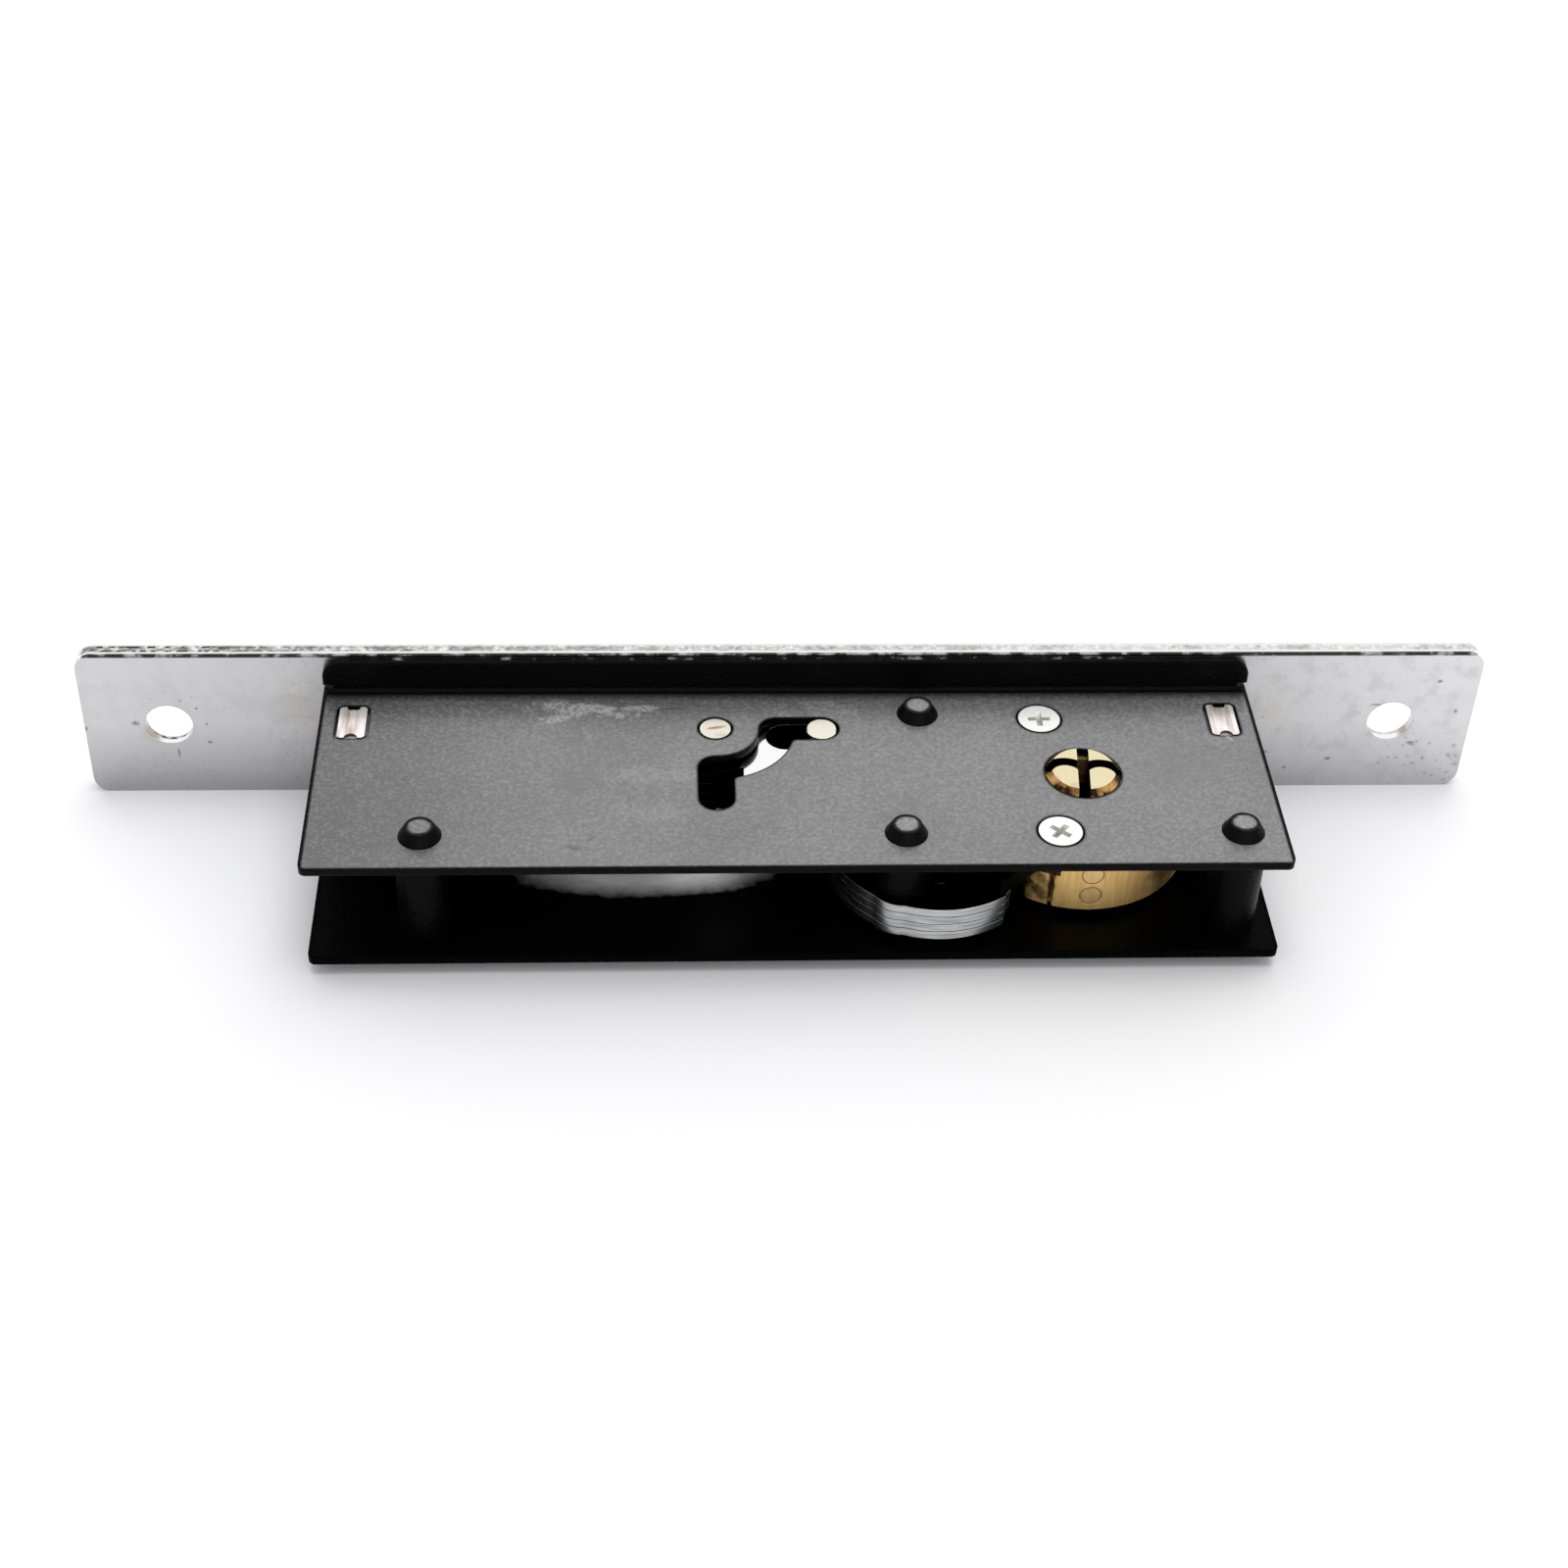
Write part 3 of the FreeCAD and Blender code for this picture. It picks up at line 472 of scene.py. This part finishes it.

# Plating: smeared, darker towards its lower edge as painted shade, where it mirrors the table in the case's
# shadow, and brighter at its right end.
smears = use(tree, smears_group, Scale=110.0, Start=0.50, Full=0.74)
fine_smears = use(tree, smears_group, Scale=420.0, Start=0.52, Full=0.80)
smears = strongest(tree, smears, product(tree, fine_smears, 0.6))
chrome = tint(tree, smears, chrome_clean, chrome_smeared)
shaded_low_chrome = tint(tree, smears, shaded_low_chrome_clean, shaded_low_chrome_smeared)
chrome = tint(tree, ramp(tree, high, *low_shade_z), chrome, shaded_low_chrome)
warm = [oval(tree, inner_face, *spot, Core=0.0, Ragged=0.5, Ragged_Scale=150.0) for spot in warm_spots]
chrome = tint(tree, product(tree, strongest(tree, *warm), warm_share), chrome, warm_tone)
right_end = ramp(tree, along, *right_end_x)
chrome = tint(tree, product(tree, right_end, right_end_share), chrome, right_end_tone)
clouds = use(tree, smears_group, Scale=230.0, Start=0.50, Full=0.66)
more_clouds_right = spread(tree, ramp(tree, along, *clouds_right_x), 0.12, 0.4)
chrome = tint(tree, product(tree, clouds, more_clouds_right), chrome, cloud_tone)

# Pits, more of them to the right, and the chips.
pits = use(tree, specks_group, Scale=650.0, Share=0.45, Patch_Scale=45.0)
more_pits_right = spread(tree, ramp(tree, along, *pits_right_x), 0.55, 1.0)
chrome = tint(tree, product(tree, pits, more_pits_right), chrome, pit_tone)
dark_chips = [oval(tree, inner_face, *chip, Core=0.2, Ragged=1.6, Ragged_Scale=900.0) for chip in chips]
chrome = tint(tree, product(tree, strongest(tree, *dark_chips), chips_share), chrome, chip_tone)

# Sheared long edge: its faces that look up, with the lower walls of the holes, are near white, pale sheared
# steel with a painted highlight; rough and mottled along its middle, more so to the left.
sheared = use(tree, level_group, Start=0.6, Full=0.9)
chrome = tint(tree, sheared, chrome, sheared_and_highlight_tone)
edge_middle = band(tree, out, *edge_middle_band)
mottle = use(tree, smears_group, Scale=900.0, Start=0.34, Full=0.58)
more_mottle_left = spread(tree, ramp(tree, along, *mottle_left_x), 0.45, 1.0)
chrome = tint(tree, product(tree, mottle, edge_middle, more_mottle_left, sheared), chrome, mottle_tone)

# Stains on the walls of the holes, and fainter on the face around them.
stains = [oval(tree, inner_face, *spot, Core=0.3, Ragged=1.2, Ragged_Scale=500.0) for spot in stain_spots]
stains = product(tree, strongest(tree, *stains), stain_share)
inside_hole = product(tree, ramp(tree, out, *hole_wall_y), stains)
stains = strongest(tree, inside_hole, product(tree, stains, stain_rim_share))
chrome = tint(tree, stains, chrome, stain_tone)

# Nicks along the sheared edge, in two rows of dashes at its left end, and a broken dark line at its corner.
nicks = use(tree, specks_group, Scale=1000.0, Share=2.2, Patch_Scale=160.0)
more_nicks_left = spread(tree, ramp(tree, along, *nicks_left_x), 0.4, 1.0)
nicks = product(tree, nicks, edge_middle, more_nicks_left)
two_rows = strongest(tree, band(tree, out, *inner_row_band), band(tree, out, *outer_row_band))
dashes = add(tree, "ShaderNodeTexNoise", {"Vector": place_on(tree)}, Scale=800.0, Detail=2.0).outputs["Fac"]
dashes = product(tree, ramp(tree, dashes, 0.47, 0.54), ramp(tree, along, *dashes_left_x))
nicks = strongest(tree, nicks, product(tree, dashes, two_rows))
chrome = tint(tree, product(tree, nicks, sheared), chrome, nick_tone)
edge_line = product(tree, ramp(tree, high, *edge_line_z), ramp(tree, out, *edge_line_y))
edge_break = use(tree, smears_group, Scale=300.0, Start=0.40, Full=0.50)
edge_line = product(tree, edge_line, spread(tree, edge_break, 0.55, 1.0))
chrome = tint(tree, edge_line, chrome, edge_line_tone)
relief = use(tree, relief_group, Edge_Radius=face_edge_r, Grain_Scale=700.0, Grain_Depth=0.05)
roughness = spread(tree, smears, *chrome_roughness)
skin(tree, output, {"Base Color": chrome, "Normal": relief, "Roughness": roughness}, Metallic=1.0)
dress(["faceplate"], plating)

# Case plates.
# Two pressed steel plates in satin black paint with a fine orange peel, with painted light and shade on its
# crests and hollows.
# The upper one has a flange turned up against the faceplate, and pale scuffs on its level top, whose grey is
# dust with painted light, fading as painted shade to the left end and to the flange's foot.
paint_black = (0.0012, 0.0012, 0.0013, 1.0)
bare_steel = (0.34, 0.31, 0.27, 1.0)
plate_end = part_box("upper_case_plate")[1].x
rim_from = plate_end - 0.45 * mm
rim_full = plate_end - 0.80 * mm
peel_depth = 0.16 * mm
paint_roughness = 0.32
coat_roughness = 0.34
coat_index = 2.2
head_half_x = 2.0
head_half_y = 1.9
left_shade_share = 0.63

# Where each effect sets in and where it is full.
# Painted shade along the foot of the flange, where the level tops fade to black.
flange_foot_shade_y = (-2.2 * mm, -4.6 * mm)
below_flange_z = (12.0 * mm, 11.0 * mm)
level_from = (0.94, 0.998)
# Painted shade on the level tops towards the left end of the plates.
left_shade_x = (-40.0 * mm, -79.0 * mm)
bare_edge_z = (13.8 * mm, 14.0 * mm)
bare_edge_y = (-0.9 * mm, -0.5 * mm)

# Tones of the dust, and of the painted light and shade on the peel's crests and hollows, as shares of a
# paint's grey of its level tops.
cloud_dim = 0.75
cloud_bright = 1.25
scuff_bright = 1.8
crest_painted_light = 1.9
hollow_painted_shade = 0.4
speck_dim = 0.2

# Marks on the upper plate: X, Y, half length, half width, turn in degrees, share, grey, raggedness.
plate_marks = [
    (-36.5, -6.6, 9.5, 1.9, 6.0, 1.0, 0.33, 2.4),
    (-39.0, -9.2, 4.5, 1.3, -14.0, 0.9, 0.31, 2.4),
    (-26.5, -6.4, 6.5, 1.0, 2.0, 0.8, 0.32, 2.0),
    (-34.0, -14.0, 2.4, 0.4, 70.0, 0.6, 0.20, 1.5),
    (7.0, -7.0, 5.5, 2.8, 15.0, 0.5, 0.22, 2.6),
    (-1.0, -8.5, 3.0, 1.5, 40.0, 0.4, 0.22, 2.6),
    (-23.0, -24.0, 8.0, 2.6, 4.0, 0.55, 0.20, 2.6),
    (-24.0, -33.5, 7.5, 2.4, 8.0, 0.45, 0.19, 2.6),
    (14.0, -19.0, 1.2, 0.8, 0.0, 0.6, 0.24, 2.0),
    (64.0, -22.0, 9.0, 9.0, 0.0, 0.5, 0.095, 1.5),
    (-36.0, -26.0, 5.0, 4.0, 30.0, 0.45, 0.05, 2.0),
    (-20.6, -6.5, 3.6, 0.22, -4.0, 1.0, 0.001, 1.6),
    (-32.5, -7.8, 1.6, 0.2, 35.0, 1.0, 0.001, 1.6),
    (70.5, -17.5, 1.6, 0.2, 30.0, 1.0, 0.002, 1.0),
    (73.5, -15.0, 0.9, 0.3, 60.0, 1.0, 0.5, 1.0),
    (-36.0, -42.0, 2.4, 0.7, 10.0, 0.9, 0.006, 2.6),
    (-33.0, -39.8, 1.3, 0.4, -35.0, 0.9, 0.006, 2.0),
]

# A painted patch of light on the lower plate, in the same order.
painted_light_patch = [(-25.0, -26.0, 22.5, 7.0, 0.0, 1.0, 0.98, 0.22)]


def grey(value):
    return (value, value, value, 1.0)


def level_tops(tree, edge, heads):
    """Mask of a painted piece's level tops, off the flange and inside the plates' end rims, fading out as
    painted shade in front of the flange; on rivet heads only an inner disc, with painted shade on the rounded
    rim.
    """
    axes = axes_on(tree)
    facing = add(tree, "ShaderNodeSeparateXYZ", {"Vector": edge}).outputs["Z"]
    clear_of_flange_shade = ramp(tree, axes["Y"], *flange_foot_shade_y)
    off_flange = product(tree, clear_of_flange_shade, ramp(tree, axes["Z"], *below_flange_z))
    tops = product(tree, ramp(tree, facing, *level_from), off_flange)
    # On rivet heads the grey keeps to an inner disc, and the rounded rim around it is painted shade.
    if heads:
        place = place_on(tree)
        discs = [oval(tree, place, x, y, head_half_x, head_half_y, Core=0.75, Ragged=0.25, Ragged_Scale=700.0)
                 for x, y in heads]
        tops = product(tree, tops, spread(tree, strongest(tree, *discs), 0.04, 1.0))
    end_distance = add(tree, "ShaderNodeMath", {0: axes["X"]}, operation="ABSOLUTE").outputs[0]
    return product(tree, tops, ramp(tree, end_distance, rim_from, rim_full))


def dust_and_light_top(tree, peel, left_shade_factor, dust_and_light_grey, marks, mark_share_in_hollows):
    """Colour of the level tops, dust with painted light: clouds, scuffs and specks, then painted light and
    shade on the orange peel's crests and hollows, with the marks laid last.
    """
    place = place_on(tree)
    cloud = use(tree, smears_group, Scale=45.0, Start=0.3, Full=0.75)
    scuffs = use(tree, smears_group, Scale=160.0, Start=0.62, Full=0.72)
    specks = use(tree, specks_group, Scale=800.0, Share=0.45, Patch_Scale=120.0)
    dust_and_light = tint(tree, cloud, grey(dust_and_light_grey * cloud_dim), grey(dust_and_light_grey * cloud_bright))
    dust_and_light = tint(tree, product(tree, scuffs, 0.3), dust_and_light, grey(dust_and_light_grey * scuff_bright))
    dust_and_light = tint(tree, product(tree, specks, 0.8), dust_and_light, grey(dust_and_light_grey * speck_dim))
    # Painted shade in the peel's hollows and painted light on its crests, both weaker towards the left end.
    shaded_hollows = ramp(tree, peel, 0.58, 0.38)
    lit_crests = ramp(tree, peel, 0.54, 0.74)
    hollow_shade = product(tree, shaded_hollows, spread(tree, left_shade_factor, 1.0, 0.55))
    crest_light = product(tree, lit_crests, spread(tree, left_shade_factor, 0.9, 0.4))
    dust_and_light = tint(tree, hollow_shade, dust_and_light, grey(dust_and_light_grey * hollow_painted_shade))
    dust_and_light = tint(tree, crest_light, dust_and_light, grey(dust_and_light_grey * crest_painted_light))
    # Marks: scuffs and cracks on the upper plate, and on the lower plate a painted patch of light.
    for x, y, half_x, half_y, turn, share, tone, ragged in marks:
        mark = oval(tree, place, x, y, half_x, half_y, Turn=math.radians(turn), Core=0.45, Ragged=ragged,
                    Ragged_Scale=420.0)
        wear_and_painted_light = product(tree, mark, spread(tree, shaded_hollows, share, share * mark_share_in_hollows))
        dust_and_light = tint(tree, wear_and_painted_light, dust_and_light, grey(tone))
    return dust_and_light


def paint_material(name, dust_and_light_grey, sheen, marks=(), edge_r=0.7 * mm, heads=(), gloss=0.05, mark_share_in_hollows=0.35):
    """Satin black paint; its second argument is the grey of its level tops, dust with painted light, and
    sheen how much they mirror the room.
    """
    material, tree, output = new_material(name)
    axes = axes_on(tree)
    edge = use(tree, relief_group, Edge_Radius=edge_r, Grain_Scale=1000.0, Grain_Depth=0.0)
    peel = add(tree, "ShaderNodeTexNoise", {"Vector": place_on(tree)}, Scale=1500.0, Detail=2.0)
    peel = peel.outputs["Fac"]
    tops = level_tops(tree, edge, heads)
    # Painted shade towards the left end: the tops' grey and sheen fall off there.
    left_shade_factor = spread(tree, ramp(tree, axes["X"], *left_shade_x), 1.0, left_shade_share)
    dust_and_light = dust_and_light_top(tree, peel, left_shade_factor, dust_and_light_grey, marks, mark_share_in_hollows)
    # The level tops take the grey of dust and painted light, darkened towards the left end as painted shade.
    colour = tint(tree, product(tree, tops, left_shade_factor), paint_black, dust_and_light)
    flange_edge = product(tree, ramp(tree, axes["Z"], *bare_edge_z), ramp(tree, axes["Y"], *bare_edge_y))
    worn_edge = use(tree, smears_group, Scale=260.0, Start=0.59, Full=0.70)
    colour = tint(tree, product(tree, flange_edge, worn_edge), colour, bare_steel)
    bumpy = add(tree, "ShaderNodeBump", {"Height": peel, "Normal": edge}, Strength=1.0, Distance=peel_depth)
    coat = product(tree, spread(tree, left_shade_factor, 0.4, 1.0), product(tree, tops, sheen))
    skin(tree, output, {"Base Color": colour, "Normal": bumpy.outputs[0], "Coat Weight": coat},
         Roughness=paint_roughness, Specular_IOR_Level=gloss, Coat_Roughness=coat_roughness,
         Coat_IOR=coat_index)
    return material


top_paint = paint_material("case_paint", 0.125, 0.9, plate_marks)
# The lower plate's only mark is a painted patch of light, kept whole over the peel's hollows.
low_paint = paint_material("case_paint_low", 0.0012, 0.02, painted_light_patch, gloss=0.01, mark_share_in_hollows=1.0)
dress(["upper_case_plate"], top_paint)
dress(["lower_case_plate"], low_paint)

# Spacer posts and the lever's pivot post.
# Turned steel posts, blacked with the case, with their ends riveted over into low cones.
# The flat tops of the cones are grey like the plate's top, dust with painted light, and their rounded rims
# are painted shade.
posts = ["spacer_post_left", "spacer_post_rear", "lever_pivot_post", "spacer_post_right"]


def middle(name):
    """Middle of a piece seen from above, in mm."""
    low_corner, high_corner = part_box(name)
    return (low_corner.x + high_corner.x) / 2 / mm, (low_corner.y + high_corner.y) / 2 / mm


post_heads = [middle(post) for post in posts]
dress(posts, paint_material("post_black", 0.17, 0.9, edge_r=0.35 * mm, heads=post_heads))

# End blocks.
# Zinc-plated steel blocks between the plates, with tenons that are staked over in the plates' end holes.
# The tops of the tenons are rubbed bright, with faint brown streaks.
block_bright = (0.97, 0.93, 0.91, 1.0)
block_streak = (0.58, 0.47, 0.42, 1.0)
# Painted shade on the blocks' walls.
block_wall_shade = (0.05, 0.05, 0.05, 1.0)
plated_edge_r = 0.12 * mm


def plated_material(name, bright, wall, roughness, streak=None, metal=1.0, recess_from=None):
    """Plated steel: bright on level faces, another tone on walls and recesses, which is painted shade on the
    end blocks and the cylinder screws, brown streaks if given.
    """
    material, tree, output = new_material(name)
    bright_faces = use(tree, level_group, Start=0.5, Full=0.9)
    smears = use(tree, smears_group, Scale=240.0, Start=0.4, Full=0.7)
    if streak:
        drawn = add(tree, "ShaderNodeVectorMath", {0: place_on(tree)}, operation="MULTIPLY")
        drawn.inputs[1].default_value = (1.0, 0.12, 1.0)
        rubbed = add(tree, "ShaderNodeTexNoise", {"Vector": drawn.outputs[0]}, Scale=900.0, Detail=4.0)
        bright = tint(tree, ramp(tree, rubbed.outputs["Fac"], 0.42, 0.66), bright, streak)
    # Faces below the top of a recess take the wall tone, as painted shade.
    if recess_from is not None:
        above_recess = ramp(tree, axes_on(tree)["Z"], recess_from - 0.25 * mm, recess_from)
        bright_faces = product(tree, bright_faces, above_recess)
    colour = tint(tree, bright_faces, wall, bright)
    relief = use(tree, relief_group, Edge_Radius=plated_edge_r, Grain_Scale=1400.0, Grain_Depth=0.05)
    rough = spread(tree, smears, roughness, roughness + 0.12)
    skin(tree, output, {"Base Color": colour, "Normal": relief, "Roughness": rough}, Metallic=metal)
    return material


block_zinc = plated_material("block_zinc", block_bright, block_wall_shade, 0.18, block_streak, metal=0.6)
dress(["end_block_left", "end_block_right"], block_zinc)

# Hook bolt.
# Four zinc-plated steel plates riveted together, with claw, arm and slotted tail.
# The claw and arm keep their zinc, the hub and the walls of the tail are black as painted shade, and the tail
# of the top plate is rubbed bright.
hook_painted_shade = (0.006, 0.006, 0.006, 1.0)
hook_zinc_clean = (0.62, 0.63, 0.63, 1.0)
hook_zinc_dull = (0.40, 0.41, 0.41, 1.0)
hook_rubbed = (0.96, 0.96, 0.965, 1.0)
hook_roughness = (0.1, 0.26)
rubbed_tail_x = (-9.0 * mm, -8.2 * mm)
zinc_claw_x = (-19.0 * mm, -22.0 * mm)
hook_pieces = [name for name in nodes if name.startswith("hook_plate")] + ["hook_rivets"]

hook_zinc, tree, output = new_material("hook_zinc")
along = axes_on(tree)["X"]
up_faces = use(tree, level_group, Start=0.5, Full=0.9)
tail_part = ramp(tree, along, *rubbed_tail_x)
claw_part = ramp(tree, along, *zinc_claw_x)
smears = use(tree, smears_group, Scale=150.0, Start=0.42, Full=0.70)
zinc = tint(tree, smears, hook_zinc_clean, hook_zinc_dull)
# Painted shade: black on the hub and the tail, all but the tail's level tops.
colour = tint(tree, claw_part, hook_painted_shade, zinc)
colour = tint(tree, product(tree, up_faces, tail_part), colour, hook_rubbed)
relief = use(tree, relief_group, Edge_Radius=plated_edge_r, Grain_Scale=1400.0, Grain_Depth=0.04)
roughness = spread(tree, claw_part, *hook_roughness)
skin(tree, output, {"Base Color": colour, "Normal": relief, "Roughness": roughness}, Metallic=1.0)
dress(hook_pieces, hook_zinc)

# Throw lever.
# Four plates on the middle front post; the rounded walls of their belly show in the open front.
# The walls are bright zinc with dark joints between the plates, black as painted shade at the narrow left
# end, and the level tops black as painted shade under the upper plate.
lever_bright = (0.64, 0.66, 0.665, 1.0)
lever_dull = (0.34, 0.35, 0.35, 1.0)
lever_painted_shade = (0.02, 0.02, 0.02, 1.0)
lever_shade_line = (0.60, 0.61, 0.60, 1.0)
lever_roughness = 0.26
lever_edge_r = 0.16 * mm
bright_belly_x = (6.0 * mm, 12.5 * mm)
lever_pieces = [name for name in nodes if name.startswith("lever_plate")] + ["lever_rivet"]

lever_zinc, tree, output = new_material("lever_zinc")
drawn_along = add(tree, "ShaderNodeVectorMath", {0: place_on(tree)}, operation="MULTIPLY")
drawn_along.inputs[1].default_value = (0.05, 0.05, 1.0)
lines = add(tree, "ShaderNodeTexNoise", {"Vector": drawn_along.outputs[0]}, Scale=4200.0, Detail=3.0)
lines = lines.outputs["Fac"]
clean_wall = tint(tree, ramp(tree, lines, 0.38, 0.68), lever_bright, lever_dull)
# Painted shade at the narrow left end, with thin lighter lines between the plates.
shaded_wall = tint(tree, ramp(tree, lines, 0.50, 0.60), lever_painted_shade, lever_shade_line)
wall = tint(tree, ramp(tree, axes_on(tree)["X"], *bright_belly_x), shaded_wall, clean_wall)
# The level tops lie in painted shade.
colour = tint(tree, use(tree, level_group, Start=0.5, Full=0.9), wall, lever_painted_shade)
relief = use(tree, relief_group, Edge_Radius=lever_edge_r, Grain_Scale=1400.0, Grain_Depth=0.05)
skin(tree, output, {"Base Color": colour, "Normal": relief}, Metallic=1.0, Roughness=lever_roughness)
dress(lever_pieces, lever_zinc)

# Brass pins.
# Turned brass: the hook's pivot in its round hole, and the throw pin with its roller in the guide slot.
# The end of the hook's pivot has one brown scrape across it.
pin_clean = (0.90, 0.86, 0.75, 1.0)
pin_stain = (0.46, 0.28, 0.15, 1.0)
brass_edge_r = 0.12 * mm
scrape_above_middle = 0.2
scrape_half_x = 2.3
scrape_half_y = 0.5
scrape_turn = math.radians(-12)


def brass_material(name, clean, stain, roughness, streaks=0.0, details=None):
    """Machined brass with stains in patches, and upright brush marks of the given strength.

    A function given as details lays more over the colour: the pin's scrape, the chamber plugs' joints, and
    painted shade on the barrel and in the keyway."""
    material, tree, output = new_material(name)
    stains = use(tree, smears_group, Scale=260.0, Start=0.55, Full=0.75)
    stretched = add(tree, "ShaderNodeVectorMath", {0: place_on(tree)}, operation="MULTIPLY")
    stretched.inputs[1].default_value = (1.0, 1.0, 0.06)
    brush = add(tree, "ShaderNodeTexNoise", {"Vector": stretched.outputs[0]}, Scale=1500.0, Detail=3.0)
    brushed = product(tree, ramp(tree, brush.outputs["Fac"], 0.35, 0.7), streaks)
    colour = tint(tree, brushed, clean, stain)
    colour = tint(tree, product(tree, stains, 0.5), colour, stain)
    if details:
        colour = details(tree, colour)
    relief = use(tree, relief_group, Edge_Radius=brass_edge_r, Grain_Scale=1600.0, Grain_Depth=0.08)
    rough = spread(tree, stains, roughness, roughness + 0.15)
    skin(tree, output, {"Base Color": colour, "Normal": relief, "Roughness": rough}, Metallic=1.0)
    return material


def scraped(tree, colour):
    x, y = middle("hook_pivot_pin")
    scrape = oval(tree, place_on(tree), x, y + scrape_above_middle, scrape_half_x, scrape_half_y,
                  Turn=scrape_turn, Core=0.3, Ragged=1.2, Ragged_Scale=900.0)
    return tint(tree, scrape, colour, pin_stain)


pin_brass = brass_material("pin_brass", pin_clean, pin_stain, 0.22, details=scraped)
dress(["hook_pivot_pin", "throw_pin", "throw_pin_roller"], pin_brass)

# Lock cylinder.
# Brass body with two chamber plugs on its round front, and a plug with a cross keyway in the key hole.
# The cam and the spring clip are blackened steel, darkened further as painted shade, and the lever's peg that
# the cam moves is black as painted shade.
barrel_clean = (1.0, 0.69, 0.28, 1.0)
barrel_stain = (0.72, 0.45, 0.14, 1.0)
barrel_painted_shade = (0.04, 0.02, 0.006, 1.0)
chamber_clean = (1.0, 0.69, 0.30, 1.0)
chamber_joint = (0.14, 0.06, 0.012, 1.0)
plug_clean = (0.86, 0.76, 0.49, 1.0)
plug_stain = (0.40, 0.22, 0.07, 1.0)
keyway_shade_and_smear = (0.03, 0.014, 0.006, 1.0)
plug_chamfer_shade = (0.60, 0.34, 0.12, 1.0)
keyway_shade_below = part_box("cylinder_plug")[1].z - 1.0 * mm
cam_black_and_shade = (0.004, 0.004, 0.0038, 1.0)
cam_roughness = (0.35, 0.55)
cam_edge_r = 0.12 * mm

# Painted shade on the barrel's front, in its groove, in the shadow left of it and towards its right side: X,
# Z, half length, half width, share, raggedness.
barrel_shade_patches = [
    (41.85, -3.0, 0.7, 12.0, 0.95, 1.4),
    (37.2, -2.0, 3.6, 14.0, 0.95, 1.6),
    (39.9, -6.0, 1.6, 3.0, 0.6, 2.6),
    (61.5, 0.0, 4.5, 14.0, 0.7, 1.2),
    (57.3, 4.0, 0.6, 6.0, 0.4, 1.4),
]


# Painted shade laid over the barrel's front.
def shaded_front(tree, colour):
    front = front_on(tree)
    for x, z, half_x, half_z, share, ragged in barrel_shade_patches:
        shade_patch = oval(tree, front, x, z, half_x, half_z, Core=0.4, Ragged=ragged, Ragged_Scale=500.0)
        colour = tint(tree, product(tree, shade_patch, share), colour, barrel_painted_shade)
    return colour


def chamber_joints(tree, colour):
    """Dark joints around the two round plugs, one at each end of their node's box."""
    front = front_on(tree)
    low_corner, high_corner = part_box("chamber_plugs")
    x = (low_corner.x + high_corner.x) / 2 / mm
    r = (high_corner.x - low_corner.x) / 2 / mm
    discs = [oval(tree, front, x, z, r, r, Core=0.84, Ragged=0.1, Ragged_Scale=900.0)
             for z in (low_corner.z / mm + r, high_corner.z / mm - r)]
    return tint(tree, strongest(tree, *discs), chamber_joint, colour)


def shaded_keyway(tree, colour):
    """Chamfers in a darker brown as painted shade, with dark smears, and painted shade on the walls and floor
    of the keyway.
    """
    soiled = use(tree, smears_group, Scale=330.0, Start=0.40, Full=0.56)
    chamfers = tint(tree, soiled, plug_chamfer_shade, keyway_shade_and_smear)
    colour = tint(tree, use(tree, level_group, Start=0.75, Full=0.95), chamfers, colour)
    colour = tint(tree, use(tree, level_group, Start=0.2, Full=0.5), keyway_shade_and_smear, colour)
    above_floor = ramp(tree, axes_on(tree)["Z"], keyway_shade_below - 0.15 * mm, keyway_shade_below)
    return tint(tree, above_floor, keyway_shade_and_smear, colour)


barrel_brass = brass_material("barrel_brass", barrel_clean, barrel_stain, 0.5, 0.6, shaded_front)
chamber_brass = brass_material("chamber_brass", chamber_clean, chamber_joint, 0.45, 0.15, chamber_joints)
plug_brass = brass_material("plug_brass", plug_clean, plug_stain, 0.24, details=shaded_keyway)
dress(["cylinder_body"], barrel_brass)
dress(["chamber_plugs"], chamber_brass)
dress(["cylinder_plug"], plug_brass)

blackened_and_shaded, tree, output = new_material("blackened_steel")
relief = use(tree, relief_group, Edge_Radius=cam_edge_r, Grain_Scale=1400.0, Grain_Depth=0.1)
smears = use(tree, smears_group, Scale=200.0, Start=0.4, Full=0.7)
roughness = spread(tree, smears, *cam_roughness)
skin(tree, output, {"Normal": relief, "Roughness": roughness}, Metallic=1.0, Base_Color=cam_black_and_shade)
dress(["cylinder_cam", "plug_clip", "lever_peg"], blackened_and_shaded)

# Screws.
# Zinc-plated countersunk screws with cross recesses, flush in the upper plate and in the faceplate.
# They hold the cylinder to the plate, and the faceplate to the end blocks.
screw_bright = (0.86, 0.86, 0.83, 1.0)
# Painted shade in the cross recesses and on the walls of the cylinder screws.
screw_recess_shade = (0.70, 0.70, 0.65, 1.0)
screw_recess_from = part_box("cylinder_screws")[1].z - 0.1 * mm
face_screw_bright = (0.80, 0.80, 0.77, 1.0)
face_screw_wall = (0.74, 0.74, 0.70, 1.0)
screw_zinc = plated_material("screw_zinc", screw_bright, screw_recess_shade, 0.25, metal=0.3,
                             recess_from=screw_recess_from)
face_screw_zinc = plated_material("faceplate_screw_zinc", face_screw_bright, face_screw_wall, 0.22)
dress(["cylinder_screws"], screw_zinc)
dress(["faceplate_screws"], face_screw_zinc)
